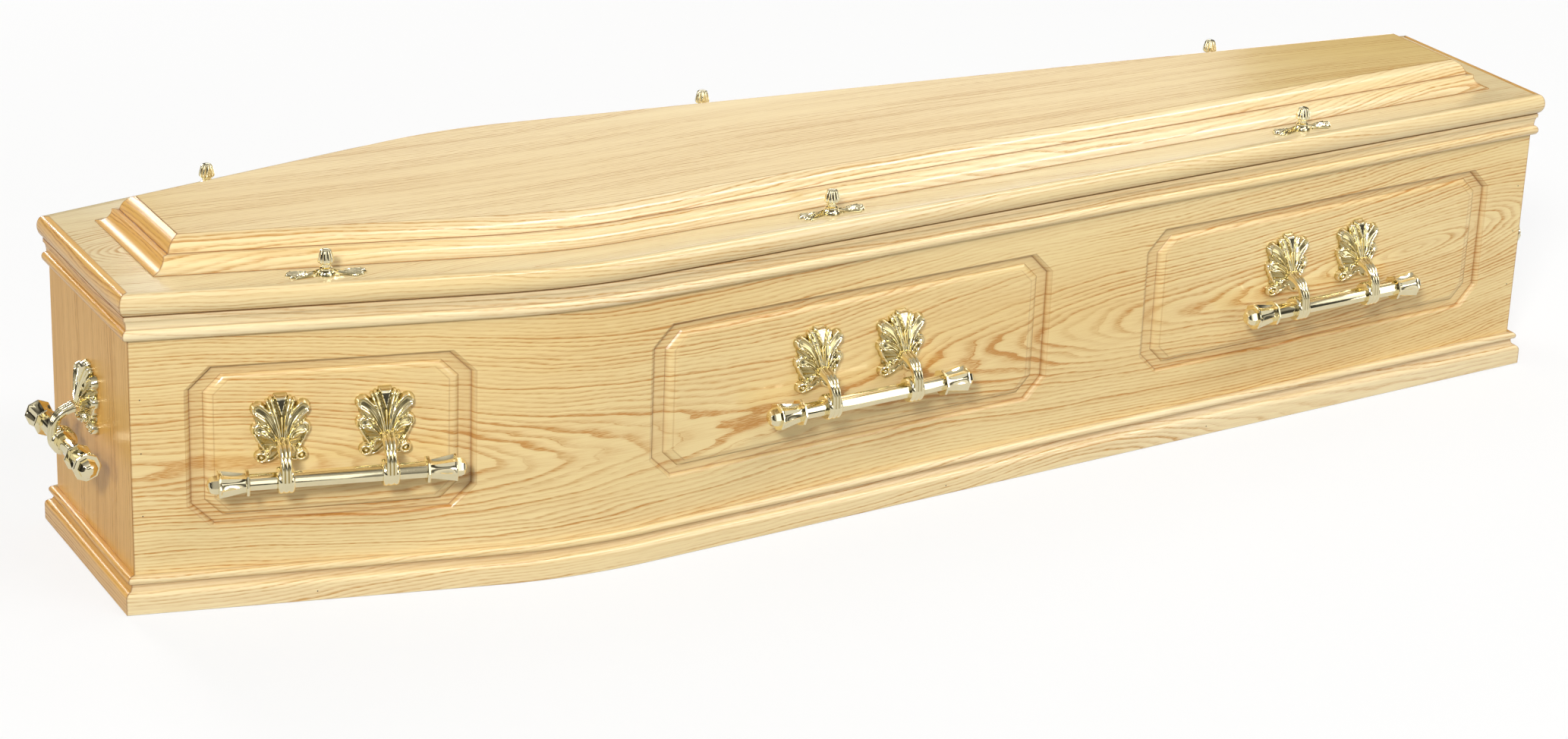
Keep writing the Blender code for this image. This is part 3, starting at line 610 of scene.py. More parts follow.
def plinth_profile():
    shoulder_centre = (PLINTH_PROJECTION - PLINTH_SHOULDER, PLINTH_FLAT_HEIGHT)
    shoulder = arc(shoulder_centre, (PLINTH_SHOULDER, PLINTH_SHOULDER), 0, 90, ROUND_STEPS, (0.0, 0.20))
    bead_centre = (PLINTH_NECK, PLINTH_TOP - PLINTH_BEAD)
    bead = arc(bead_centre, (PLINTH_BEAD, PLINTH_BEAD), -90, 90, BEAD_STEPS, (0.45, 0.10))
    neck_height = (shoulder[-1][1] + bead[0][1]) / 2
    # Each point's third number is shade painted into the oak: at the floor, in the neck and against the wall.
    return [
        (JOINT, 0.0, 0.0), (PLINTH_PROJECTION - ARRIS, 0.0, 0.2), (PLINTH_PROJECTION, ARRIS, 0.0), *shoulder,
        (PLINTH_NECK + JOINT, neck_height, 0.25), *bead, (JOINT, PLINTH_TOP, 0.45),
    ]


moulding_ring("plinth_moulding", plinth_profile(), shift=0.7, from_heart=0.12)


# The moulding under the lid: a thinner oak strip, pinned to the top of the walls and mitred at
# the corners. From the wall up it has a bead, a hollow and a square fillet.

CORNICE_BOTTOM, CORNICE_TOP = (corner.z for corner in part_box("cornice_moulding_near"))
CORNICE_PROJECTION = 0.0075
CORNICE_NECK = 0.0025
CORNICE_FILLET_HEIGHT = 0.005
CORNICE_FILLET_PROJECTION = 0.0055
CORNICE_BEAD = 0.0065


def cornice_profile():
    bead_middle = CORNICE_BOTTOM + CORNICE_BEAD
    bead_reach = CORNICE_PROJECTION - CORNICE_NECK
    bead = arc((CORNICE_NECK, bead_middle), (bead_reach, CORNICE_BEAD), -90, 90, BEAD_STEPS, (0.25, 0.50))
    hollow_centre = (CORNICE_FILLET_PROJECTION, bead_middle + CORNICE_BEAD)
    hollow_height = CORNICE_TOP - CORNICE_FILLET_HEIGHT - hollow_centre[1]
    hollow_radii = (CORNICE_FILLET_PROJECTION - CORNICE_NECK, hollow_height)
    hollow = arc(hollow_centre, hollow_radii, 180, 90, ROUND_STEPS, (0.0, 0.15))
    # Each point's third number is shade painted into the oak: against the wall, round the bead and under the
    # lid's edging.
    return [
        (JOINT, CORNICE_BOTTOM, 0.7), *bead, *hollow[1:],
        (CORNICE_FILLET_PROJECTION, CORNICE_TOP - ARRIS, 0.10),
        (CORNICE_FILLET_PROJECTION, CORNICE_TOP, 0.60), (JOINT, CORNICE_TOP, 0.60),
    ]


moulding_ring("cornice_moulding", cornice_profile(), shift=2.1, from_heart=0.18)


# The lid: a flat veneered board with a rounded solid oak edging glued round it. The edging laps
# a few millimetres down over the walls and keeps the lid in place.

LID_BOTTOM, LID_TOP = (corner.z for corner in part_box("lid_board"))
EDGING_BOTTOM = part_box("lid_edging_near")[0].z
LID_SET_IN = 0.002
EDGING_PROJECTION = 0.011
EDGING_FLAT = 0.004
EDGING_FOOT = 0.002
SEAM_SHADE_WIDTH = 0.0012
LID_SEAM_STAIN = 0.18

LID_BOARD_OAK = oak_material(
    "lid_board_oak", (0.97, 0.83, 0.52), (0.93, 0.75, 0.40), (0.62, 0.34, 0.09),
    heart=3.0, arching=0.6, figure=0.90, coat=0.60,
)


def flat_board(name, offset, bottom, top, shift, edge_stain, material):
    """A level six-sided board with its grain lengthwise and a stained line round its upper edge."""
    bm = bmesh.new()
    grain = bm.loops.layers.uv.new("grain")
    stain_and_painted_shade = bm.verts.layers.float.new("recess")
    rings = []
    for inset, height, shade in ((0.0, bottom, 0.0), (0.0, top, edge_stain), (SEAM_SHADE_WIDTH, top, 0.0)):
        half = side_stations(offset - inset)
        outline = [(spot.x, -spot.y) for spot in half] + [(spot.x, spot.y) for spot in reversed(half)]
        ring = [bm.verts.new((x, y, height)) for x, y in outline]
        for corner in ring:
            corner[stain_and_painted_shade] = shade
        rings.append(ring)
    for ring, following in zip(rings, rings[1:]):
        for i, corner in enumerate(ring):
            j = (i + 1) % len(ring)
            bm.faces.new((corner, ring[j], following[j], following[i]))
    bm.faces.new(rings[0])
    bm.faces.new(rings[-1])
    for face in bm.faces:
        for loop in face.loops:
            spot = loop.vert.co
            loop[grain].uv = (spot.x + shift[0], spot.y + shift[1])
    return closed_mesh(bm, name, material)


lid_mesh = flat_board(
    "lid_board_veneered", -LID_SET_IN, LID_BOTTOM, LID_TOP,
    shift=(5.0, 3.0), edge_stain=LID_SEAM_STAIN, material=LID_BOARD_OAK,
)
fixed("lid_board_veneered", lid_mesh, "lid_board")


def edging_profile():
    half_depth = (LID_TOP - EDGING_BOTTOM) / 2
    middle = LID_TOP - half_depth
    upper_radii = (EDGING_PROJECTION - EDGING_FLAT, half_depth)
    upper = arc((EDGING_FLAT, middle), upper_radii, 90, 0, ROUND_STEPS)
    lower_radii = (EDGING_PROJECTION - EDGING_FOOT, half_depth)
    lower = arc((EDGING_FOOT, middle), lower_radii, 0, -90, ROUND_STEPS, (0.0, 0.6))
    inner = JOINT - LID_SET_IN
    lap = 2 * JOINT
    # Each point's third number darkens the oak: a glued seam's stain at the lid board, and painted shade
    # under the rounded nose and on the lap.
    return [
        (inner, LID_TOP, LID_SEAM_STAIN), (inner + SEAM_SHADE_WIDTH, LID_TOP, 0.0), *upper, *lower[1:],
        (lap, EDGING_BOTTOM, 0.9), (lap, LID_BOTTOM, 0.9), (inner, LID_BOTTOM, 0.9),
    ]


moulding_ring("lid_edging", edging_profile(), shift=3.3, from_heart=0.17)


# The raised tier: four oak mouldings with a hollow, a step and a shallow round, mitred and glued
# on the lid, with a thin veneered panel let in flush between them.

RAISED_BOTTOM, RAISED_TOP = (corner.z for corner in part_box("raised_moulding_near"))
PANEL_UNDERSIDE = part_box("raised_top_panel")[0].z
RAISED_SET_IN = 0.0456
RAISED_SLOPE = 0.0403
RAISED_FOOT_FILLET = 0.0012
RAISED_COVE_WIDTH = 0.0166
RAISED_COVE_TOP = 0.0176
RAISED_STEP_WIDTH = 0.0068
RAISED_STEP_HEIGHT = 0.0010
RAISED_ROUND_BOW = 0.0030
RAISED_LEDGE = 0.014
RAISED_QUIRK = 0.0007

LID_OAK = oak_material(
    "lid_oak", (0.88, 0.67, 0.285), (0.82, 0.59, 0.21), (0.56, 0.28, 0.055),
    heart=3.35, arching=0.6, figure=1.20, coat=0.36,
)


def bowed(start, end, bow, steps):
    """Points on a shallow curve that stands out to the right of the straight line."""
    run = Vector(end) - Vector(start)
    side = Vector((run.y, -run.x)).normalized()
    points = []
    for step in range(steps + 1):
        share = step / steps
        spot = Vector(start) + run * share + side * (4 * bow * share * (1 - share))
        points.append((spot.x, spot.y, 0.0))
    return points


def raised_profile():
    foot = -RAISED_SET_IN
    crest = foot - RAISED_SLOPE
    cove_bottom = RAISED_BOTTOM + RAISED_FOOT_FILLET
    cove_top = RAISED_BOTTOM + RAISED_COVE_TOP
    round_foot = foot - RAISED_COVE_WIDTH - RAISED_STEP_WIDTH
    cove_radii = (RAISED_COVE_WIDTH, cove_top - cove_bottom)
    cove = arc((foot, cove_top), cove_radii, -90, -180, ROUND_STEPS, (0.25, 0.0))
    round_start = (round_foot - RAISED_QUIRK, cove_top + RAISED_STEP_HEIGHT)
    rounding = bowed(round_start, (crest + RAISED_QUIRK, RAISED_TOP), RAISED_ROUND_BOW, BEAD_STEPS)
    ledge = PANEL_UNDERSIDE - JOINT
    # Each point's third number is shade painted into the oak: full in the quirks and where the moulding meets
    # the lid, lighter in the cove.
    return [
        (foot, RAISED_BOTTOM, 1.0), *cove,
        (round_foot + 2 * RAISED_QUIRK, cove_top, 0.10), (round_foot, cove_top, 1.0),
        (round_foot - RAISED_QUIRK, cove_top, 1.0), *rounding,
        (crest, RAISED_TOP - RAISED_QUIRK, 1.0),
        (crest, ledge, 1.0), (crest - RAISED_LEDGE, ledge, 0.0), (crest - RAISED_LEDGE, RAISED_BOTTOM, 0.0),
    ]


moulding_ring("raised_moulding", raised_profile(), shift=5.9, from_heart=0.071)
panel_mesh = flat_board(
    "raised_panel_veneered", -RAISED_SET_IN - RAISED_SLOPE - JOINT, PANEL_UNDERSIDE, RAISED_TOP,
    shift=(1.7, 1.2), edge_stain=0.55, material=LID_OAK,
)
fixed("raised_panel_veneered", panel_mesh, "raised_top_panel")


# The handle bars: zinc castings with a bright pale brass plate. Each is an eight-sided bar with a
# thin collar near either end and a flared cap with eight hollowed faces and a domed tip.

PLATING_BRIGHT = (0.94, 0.85, 0.57, 1.0)
# Painted shade: the darker colour mixed into the plating in its hollows.
PLATING_IN_PAINTED_SHADE = (0.46, 0.37, 0.15, 1.0)
PLATING_CLOUD_SCALE = 38.0
PLATING_CLOUD_DEPTH = 0.00008
PLATING_SMOOTHEST = 0.07
PLATING_DULLER_IN_HOLLOWS = 0.16


def plated_surface_group():
    """Bright plating, a little duller in its hollows and darker there by painted shade, with faint
    cloudiness.
    """
    tree = bpy.data.node_groups.new("plated_surface", "ShaderNodeTree")
    for socket_name, kind in (
        ("Vector", "NodeSocketVector"), ("Bright", "NodeSocketColor"), ("Hollow", "NodeSocketColor"),
        ("Recess", "NodeSocketFloat"), ("Cloud Scale", "NodeSocketFloat"),
    ):
        tree.interface.new_socket(socket_name, in_out="INPUT", socket_type=kind)
    for socket_name, kind in (
        ("Color", "NodeSocketColor"), ("Roughness", "NodeSocketFloat"), ("Height", "NodeSocketFloat"),
    ):
        tree.interface.new_socket(socket_name, in_out="OUTPUT", socket_type=kind)
    given = tree.nodes.new("NodeGroupInput").outputs
    cloud = add_node(
        tree, "ShaderNodeTexNoise",
        {"Vector": given["Vector"], "Scale": given["Cloud Scale"], "Detail": 4.0},
    ).outputs["Fac"]
    clouded = maths(tree, "MULTIPLY", maths(tree, "SUBTRACT", cloud, 0.45), 0.35)
    # Painted shade in the hollows, from the recess attribute, with a faint random cloud.
    hollow = maths(tree, "ADD", given["Recess"], clouded)
    share = add_node(tree, "ShaderNodeClamp", {"Value": hollow}).outputs[0]
    colour = blend_colours(tree, share, given["Bright"], given["Hollow"])
    dull = maths(tree, "ADD", maths(tree, "MULTIPLY", share, PLATING_DULLER_IN_HOLLOWS), PLATING_SMOOTHEST)
    add_node(tree, "NodeGroupOutput", {"Color": colour, "Roughness": dull, "Height": cloud})
    return tree


PLATED_SURFACE = plated_surface_group()


def plated_material():
    material = bpy.data.materials.new("plated_brass")
    material.use_nodes = True
    tree = material.node_tree
    shader = tree.nodes["Principled BSDF"]
    spot = add_node(tree, "ShaderNodeTexCoord").outputs["Object"]
    plating = add_node(tree, "ShaderNodeGroup", node_tree=PLATED_SURFACE)
    tree.links.new(spot, plating.inputs["Vector"])
    plating.inputs["Bright"].default_value = PLATING_BRIGHT
    plating.inputs["Hollow"].default_value = PLATING_IN_PAINTED_SHADE
    plating.inputs["Cloud Scale"].default_value = PLATING_CLOUD_SCALE
    recess = add_node(tree, "ShaderNodeAttribute", attribute_name="recess")
    tree.links.new(recess.outputs["Fac"], plating.inputs["Recess"])
    cloud = plating.outputs["Height"]
    bump = add_node(tree, "ShaderNodeBump", {"Height": cloud, "Distance": PLATING_CLOUD_DEPTH})
    tree.links.new(plating.outputs["Color"], shader.inputs["Base Color"])
    tree.links.new(plating.outputs["Roughness"], shader.inputs["Roughness"])
    tree.links.new(bump.outputs["Normal"], shader.inputs["Normal"])
    shader.inputs["Metallic"].default_value = 1.0
    return material


PLATED_BRASS = plated_material()
FLUTE_PAINTED_SHADE = 4.0
WELD_DISTANCE = 0.000002


def turning_tree():
    """Turns a profile about Z. Its flute attribute presses petals in and paints shade into their troughs, and
    its facet one flattens it.
    """
    tree = bpy.data.node_groups.new("fluted_turning", "GeometryNodeTree")
    tree.interface.new_socket("Profile", in_out="INPUT", socket_type="NodeSocketGeometry")
    tree.interface.new_socket("Segments", in_out="INPUT", socket_type="NodeSocketInt")
    tree.interface.new_socket("Petals", in_out="INPUT", socket_type="NodeSocketInt")
    tree.interface.new_socket("Finish", in_out="INPUT", socket_type="NodeSocketMaterial")
    tree.interface.new_socket("Geometry", in_out="OUTPUT", socket_type="NodeSocketGeometry")
    given = tree.nodes.new("NodeGroupInput").outputs
    size = add_node(tree, "GeometryNodeAttributeDomainSize", {0: given["Profile"]}, component="MESH")
    rows = size.outputs["Point Count"]
    columns = maths(tree, "ADD", given["Segments"], 1.0)
    grid = add_node(
        tree, "GeometryNodeMeshGrid",
        {"Size X": 1.0, "Size Y": 1.0, "Vertices X": rows, "Vertices Y": columns},
    )
    grid_spot = add_node(tree, "GeometryNodeInputPosition").outputs[0]
    spot = add_node(tree, "ShaderNodeSeparateXYZ", {0: grid_spot})
    last_row = maths(tree, "SUBTRACT", rows, 1.0)
    row_share = maths(tree, "ADD", spot.outputs[0], 0.5)
    row = maths(tree, "ROUND", maths(tree, "MULTIPLY", row_share, last_row))
    angle = maths(tree, "MULTIPLY", maths(tree, "ADD", spot.outputs[1], 0.5), math.tau)

    def sampled(kind, value):
        picked = add_node(tree, "GeometryNodeSampleIndex", data_type=kind, domain="POINT")
        tree.links.new(given["Profile"], picked.inputs["Geometry"])
        tree.links.new(value, picked.inputs["Value"])
        tree.links.new(row, picked.inputs["Index"])
        return picked.outputs[0]

    def named(attribute):
        found = add_node(tree, "GeometryNodeInputNamedAttribute", {"Name": attribute}, data_type="FLOAT")
        return sampled("FLOAT", found.outputs["Attribute"])

    place = sampled("FLOAT_VECTOR", add_node(tree, "GeometryNodeInputPosition").outputs[0])
    outline = add_node(tree, "ShaderNodeSeparateXYZ", {0: place})
    flute = named("flute")
    facet = named("facet")
    petal_angle = maths(tree, "DIVIDE", math.tau, given["Petals"])
    half_petal = maths(tree, "MULTIPLY", petal_angle, 0.5)
    half_turns = maths(tree, "DIVIDE", maths(tree, "MULTIPLY", angle, math.pi), petal_angle)
    wave = maths(tree, "ABSOLUTE", maths(tree, "COSINE", half_turns))
    trough = maths(tree, "SUBTRACT", 1.0, wave)
    pressed = maths(tree, "SUBTRACT", 1.0, maths(tree, "MULTIPLY", flute, trough))
    turned = maths(tree, "FLOORED_MODULO", maths(tree, "ADD", angle, half_petal), petal_angle)
    off_middle = maths(tree, "SUBTRACT", turned, half_petal)
    flat = maths(tree, "DIVIDE", maths(tree, "COSINE", half_petal), maths(tree, "COSINE", off_middle))
    planed = maths(tree, "MULTIPLY", facet, maths(tree, "SUBTRACT", 1.0, flat))
    flattened = maths(tree, "SUBTRACT", 1.0, planed)
    radius = maths(tree, "MULTIPLY", outline.outputs[0], maths(tree, "MULTIPLY", pressed, flattened))
    position = add_node(
        tree, "ShaderNodeCombineXYZ",
        {
            0: maths(tree, "MULTIPLY", radius, maths(tree, "COSINE", angle)),
            1: maths(tree, "MULTIPLY", radius, maths(tree, "SINE", angle)),
            2: outline.outputs[2],
        },
    )
    shaped = add_node(
        tree, "GeometryNodeSetPosition",
        {"Geometry": grid.outputs["Mesh"], "Position": position.outputs[0]},
    )
    # Painted shade in the flutes' troughs, stored as the recess attribute.
    hollow = maths(tree, "MULTIPLY", flute, maths(tree, "MULTIPLY", trough, FLUTE_PAINTED_SHADE))
    stained = add_node(
        tree, "GeometryNodeStoreNamedAttribute",
        {"Geometry": shaped.outputs[0], "Name": "recess", "Value": hollow}, data_type="FLOAT", domain="POINT",
    )
    closed = add_node(
        tree, "GeometryNodeMergeByDistance", {"Geometry": stained.outputs[0], "Distance": WELD_DISTANCE},
    )
    realized = add_node(tree, "GeometryNodeRealizeInstances", {"Geometry": closed.outputs[0]})
    finished = add_node(
        tree, "GeometryNodeSetMaterial", {"Geometry": realized.outputs[0], "Material": given["Finish"]},
    )
    add_node(tree, "NodeGroupOutput", {"Geometry": finished.outputs[0]})
    return tree


TURNING = turning_tree()
TURNING_FACET_ANGLE = math.radians(30)


def set_input(modifier, tree, name, value):
    """Sets a modifier's input by its socket's identifier."""
    for item in tree.interface.items_tree:
        if item.item_type == "SOCKET" and item.in_out == "INPUT" and item.name == name:
            modifier[item.identifier] = value


def made_by(tree, mesh, settings):
    """The plain mesh that a tree makes of a mesh."""
    holder = bpy.data.objects.new("pattern", mesh)
    bpy.context.scene.collection.objects.link(holder)
    modifier = holder.modifiers.new("Making", "NODES")
    modifier.node_group = tree
    for name, value in settings.items():
        set_input(modifier, tree, name, value)
    evaluated = holder.evaluated_get(bpy.context.evaluated_depsgraph_get())
    result = bpy.data.meshes.new_from_object(evaluated)
    bpy.data.objects.remove(holder)
    return result


def turned(profile, segments, petals):
    """A turned mesh about Z from a profile of radius, height, flute depth and facet share."""
    pattern = bpy.data.meshes.new("turning_profile")
    points = [(radius, 0.0, height) for radius, height, flute, facet in profile]
    pattern.from_pydata(points, [(i, i + 1) for i in range(len(points) - 1)], [])
    for column, name in ((2, "flute"), (3, "facet")):
        layer = pattern.attributes.new(name, "FLOAT", "POINT")
        layer.data.foreach_set("value", [row[column] for row in profile])
    mesh = made_by(TURNING, pattern, {"Segments": segments, "Petals": petals, "Finish": PLATED_BRASS})
    bm = bmesh.new()
    bm.from_mesh(mesh)
    return closed_mesh(bm, "turned", PLATED_BRASS, TURNING_FACET_ANGLE)


HANDLE_HEIGHT = 0.166
HANDLE_STANDOFF = 0.035
SIDE_BAR_LENGTH = 0.300
END_BAR_LENGTH = 0.204
BAR_RADIUS = 0.0103
BAR_SIDES = 8
BAR_SEGMENTS = 64

# One end of a bar, from its tip in: radius, distance from the tip, petal depth and facet share
BAR_END = (
    (0.0000, 0.0000, 0.00, 0.0),
    (0.0040, 0.0003, 0.00, 0.6),
    (0.0075, 0.0016, 0.00, 1.0),
    (0.0102, 0.0042, 0.00, 1.0),
    (0.0114, 0.0076, 0.00, 1.0),
    (0.0117, 0.0112, 0.00, 1.0),
    (0.0119, 0.0118, 0.00, 1.0),
    (0.0164, 0.0120, 0.00, 1.0),
    (0.0172, 0.0126, 0.00, 1.0),
    (0.0172, 0.0142, 0.00, 1.0),
    (0.0168, 0.0150, 0.00, 1.1),
    (0.0166, 0.0160, 0.00, 1.9),
    (0.0160, 0.0200, 0.00, 2.5),
    (0.0151, 0.0250, 0.00, 2.6),
    (0.0141, 0.0300, 0.00, 2.4),
    (0.0131, 0.0350, 0.00, 2.0),
    (0.0123, 0.0400, 0.00, 1.5),
    (0.0120, 0.0434, 0.00, 1.2),
    (0.0120, 0.0436, 0.00, 1.0),
    (0.0161, 0.0439, 0.00, 1.0),
    (0.0168, 0.0446, 0.00, 1.0),
    (0.0168, 0.0468, 0.00, 1.0),
    (0.0161, 0.0475, 0.00, 1.0),
    (0.0106, 0.0477, 0.00, 1.0),
    (BAR_RADIUS, 0.0482, 0.00, 0.7),
)


def bar_mesh(length):
    """A whole bar along Z: one end, and its mirror image."""
    upper = [(radius, length / 2 - inset, flute, facet) for radius, inset, flute, facet in BAR_END]
    lower = [(radius, -height, flute, facet) for radius, height, flute, facet in reversed(upper)]
    return turned(upper + lower, BAR_SEGMENTS, BAR_SIDES)


SIDE_BAR = bar_mesh(SIDE_BAR_LENGTH)
END_BAR = bar_mesh(END_BAR_LENGTH)
ALONG_WALL = Matrix.Rotation(math.pi / 2, 4, "Y") @ Matrix.Rotation(math.pi / BAR_SIDES, 4, "Z")
HANDLES = [
    (f"{side_name}_{panel_name}", wall, side, (first + last) / 2)
    for side_name, side in SIDES.items()
    for panel_name, (wall, first, last) in side_panels().items()
]
HANDLES += [("head_end", "head_end", -1, 0.0), ("foot_end", "foot_end", -1, 0.0)]


def placed(name, mesh, place, node):
    """A copy of a fitting's mesh at its place on the coffin."""
    own = mesh.copy()
    own.name = name
    own.transform(place)
    fixed(name, own, node)


for stem, wall, side, along in HANDLES:
    place = wall_place(wall, side, along, HANDLE_HEIGHT, JOINT + HANDLE_STANDOFF)
    bar = END_BAR if wall.endswith("end") else SIDE_BAR
    placed(f"{stem}_handle_bar_plated", bar, place @ ALONG_WALL, f"{stem}_handle_bar")


# The brackets: each is one casting. A deep acanthus leaf with scooped lobes and two scrolls is
# screwed to the board from inside. A ribbed arm leaves the collar at its middle and runs down in
# front into the sleeve that holds the bar.

LEAF_ABOVE_BAR = 0.0385
LEAF_THICKNESS = 0.0030
LEAF_RISE = 0.0125
LEAF_SPOKES = 340
LEAF_RINGS = 52
LEAF_ROLL = 0.06
BRACKET_SPACING = 0.121
STROKE_STEPS = 14

# Scooped lobes: start, bend and tip in across and up from the collar, half width at the start
# and the tip, floor height and rim height
LEAF_LOBES = (
    ((0.0045, 0.0030), (0.0100, 0.0290), (0.0258, 0.0378), 0.0030, 0.0092, 0.0002, 0.0042),
    ((0.0060, -0.0010), (0.0125, 0.0160), (0.0250, 0.0135), 0.0026, 0.0074, 0.0002, 0.0036),
)

# Rounded ribs: start, bend and tip, half width at the start and the tip, and height
LEAF_RIBS = (
    ((0.0000, 0.0040), (0.0000, 0.0180), (0.0000, 0.0320), 0.0014, 0.0016, 0.0040),
    ((0.0018, 0.0045), (0.0038, 0.0275), (0.0110, 0.0500), 0.0013, 0.0026, 0.0048),
    ((0.0034, 0.0040), (0.0066, 0.0270), (0.0156, 0.0478), 0.0012, 0.0022, 0.0040),
    ((0.0262, 0.0195), (0.0355, 0.0180), (0.0322, 0.0085), 0.0026, 0.0016, 0.0038),
    ((0.0300, 0.0070), (0.0262, -0.0020), (0.0172, -0.0145), 0.0020, 0.0021, 0.0038),
    ((0.0060, -0.0060), (0.0150, -0.0020), (0.0140, -0.0150), 0.0018, 0.0018, 0.0028),
    ((0.0180, -0.0262), (0.0100, -0.0270), (0.0030, -0.0160), 0.0018, 0.0020, 0.0028),
)

# Flat pads that only fill the outline: across, up and radius
LEAF_PADS = (
    (0.0, -0.0080, 0.0175), (0.0, 0.0180, 0.0235), (0.0130, -0.0165, 0.0100), (0.0, 0.0400, 0.0130),
    (0.0215, 0.0285, 0.0095), (0.0215, 0.0020, 0.0080), (0.0180, -0.0080, 0.0080),
)
KEYSTONE_FOOT = 0.0260
KEYSTONE_TOP = 0.0555
KEYSTONE_HALF_WIDTH = 0.0084
KEYSTONE_LIFT = 0.0056
KEYSTONE_CHAMFER = 0.0040
SCROLL_CENTRE = (0.0232, -0.0205)
SCROLL_RADIUS = 0.0080
SCROLL_RING = 0.0057
SCROLL_TUBE = 0.0022
SCROLL_BALL = 0.0031
SCROLL_HEIGHT = 0.0042
RIB_FULLNESS = 0.8
LOBE_RIM_SHARE = 0.70
LOBE_RIM_SPREAD = 0.22
LOBE_EDGE_SHARE = 0.25
KEYSTONE_EDGE = 0.0018
LEAF_FULLNESS = 1.4
EDGE_DROP = 0.6
HOLLOW_BELOW = 0.55
HOLLOW_PAINTED_SHADE = 0.8
CARVING_FACET_ANGLE = math.radians(50)
FAR_OFF = 9.0


def curve_points(start, bend, tip, steps=STROKE_STEPS):
    """Points on a curve from its start to its tip, drawn towards a bend, with their share."""
    points = []
    for step in range(steps + 1):
        t = step / steps
        spot = Vector(start) * (1 - t) ** 2 + Vector(bend) * 2 * t * (1 - t) + Vector(tip) * t ** 2
        points.append((spot, t))
    return points


def off_stroke(across, up, points, start_width, tip_width):
    """How far points lie from a stroke's middle line, as a share of its half width there."""
    nearest = numpy.full(across.shape, FAR_OFF)
    for (first, share), (second, next_share) in zip(points, points[1:]):
        run = second - first
        along = ((across - first.x) * run.x + (up - first.y) * run.y) / run.length_squared
        along = numpy.clip(along, 0.0, 1.0)
        width = start_width + (tip_width - start_width) * (share + (next_share - share) * along)
        away = numpy.hypot(across - first.x - run.x * along, up - first.y - run.y * along)
        nearest = numpy.minimum(nearest, away / width)
    return nearest


def rounded(share, height):
    """A rounded rib's height at a share of its half width."""
    return height * numpy.cos(numpy.clip(share, 0.0, 1.0) * math.pi / 2) ** RIB_FULLNESS


def leaf_lift(across, up):
    """How high the leaf's carving stands above its own rounded body."""
    lift = numpy.zeros(across.shape)
    for start, bend, tip, start_width, tip_width, floor_height, rim_height in LEAF_LOBES:
        share = off_stroke(across, up, curve_points(start, bend, tip), start_width, tip_width)
        rim = numpy.exp(-(((share - LOBE_RIM_SHARE) / LOBE_RIM_SPREAD) ** 2))
        edge = numpy.clip((1.0 - share) / LOBE_EDGE_SHARE, 0.0, 1.0)
        lift = numpy.maximum(lift, (floor_height + (rim_height - floor_height) * rim) * edge)
    for start, bend, tip, start_width, tip_width, height in LEAF_RIBS:
        share = off_stroke(across, up, curve_points(start, bend, tip), start_width, tip_width)
        lift = numpy.maximum(lift, rounded(share, height))
    away = numpy.hypot(across - SCROLL_CENTRE[0], up - SCROLL_CENTRE[1])
    lift = numpy.maximum(lift, rounded(numpy.abs(away - SCROLL_RING) / SCROLL_TUBE, SCROLL_HEIGHT))
    lift = numpy.maximum(lift, rounded(away / SCROLL_BALL, SCROLL_HEIGHT))
    climb = (up - KEYSTONE_FOOT) / (KEYSTONE_TOP - KEYSTONE_FOOT)
    inside = (KEYSTONE_HALF_WIDTH * climb - across) / KEYSTONE_EDGE
    below_top = (KEYSTONE_TOP - up) / KEYSTONE_CHAMFER
    keystone = KEYSTONE_LIFT * numpy.clip(numpy.minimum(inside, below_top), 0.0, 1.0)
    return numpy.maximum(lift, keystone)


def stroke_pads(strokes, scrolls):
    """Round pads that cover strokes and scrolls, for the outline of a plate."""
    pads = list(scrolls)
    for start, bend, tip, start_width, tip_width in (stroke[:5] for stroke in strokes):
        for spot, share in curve_points(start, bend, tip):
            pads.append((spot.x, spot.y, start_width + (tip_width - start_width) * share))
    return pads


def pad_reach(direction, pads):
    """How far out along a direction the pads go, from the plate's middle."""
    reach = 0.0
    for across, up, radius in pads:
        middle = Vector((across, up))
        ahead = middle.dot(direction)
        aside = middle.length_squared - ahead * ahead
        if aside < radius * radius:
            reach = max(reach, ahead + math.sqrt(radius * radius - aside))
    return reach


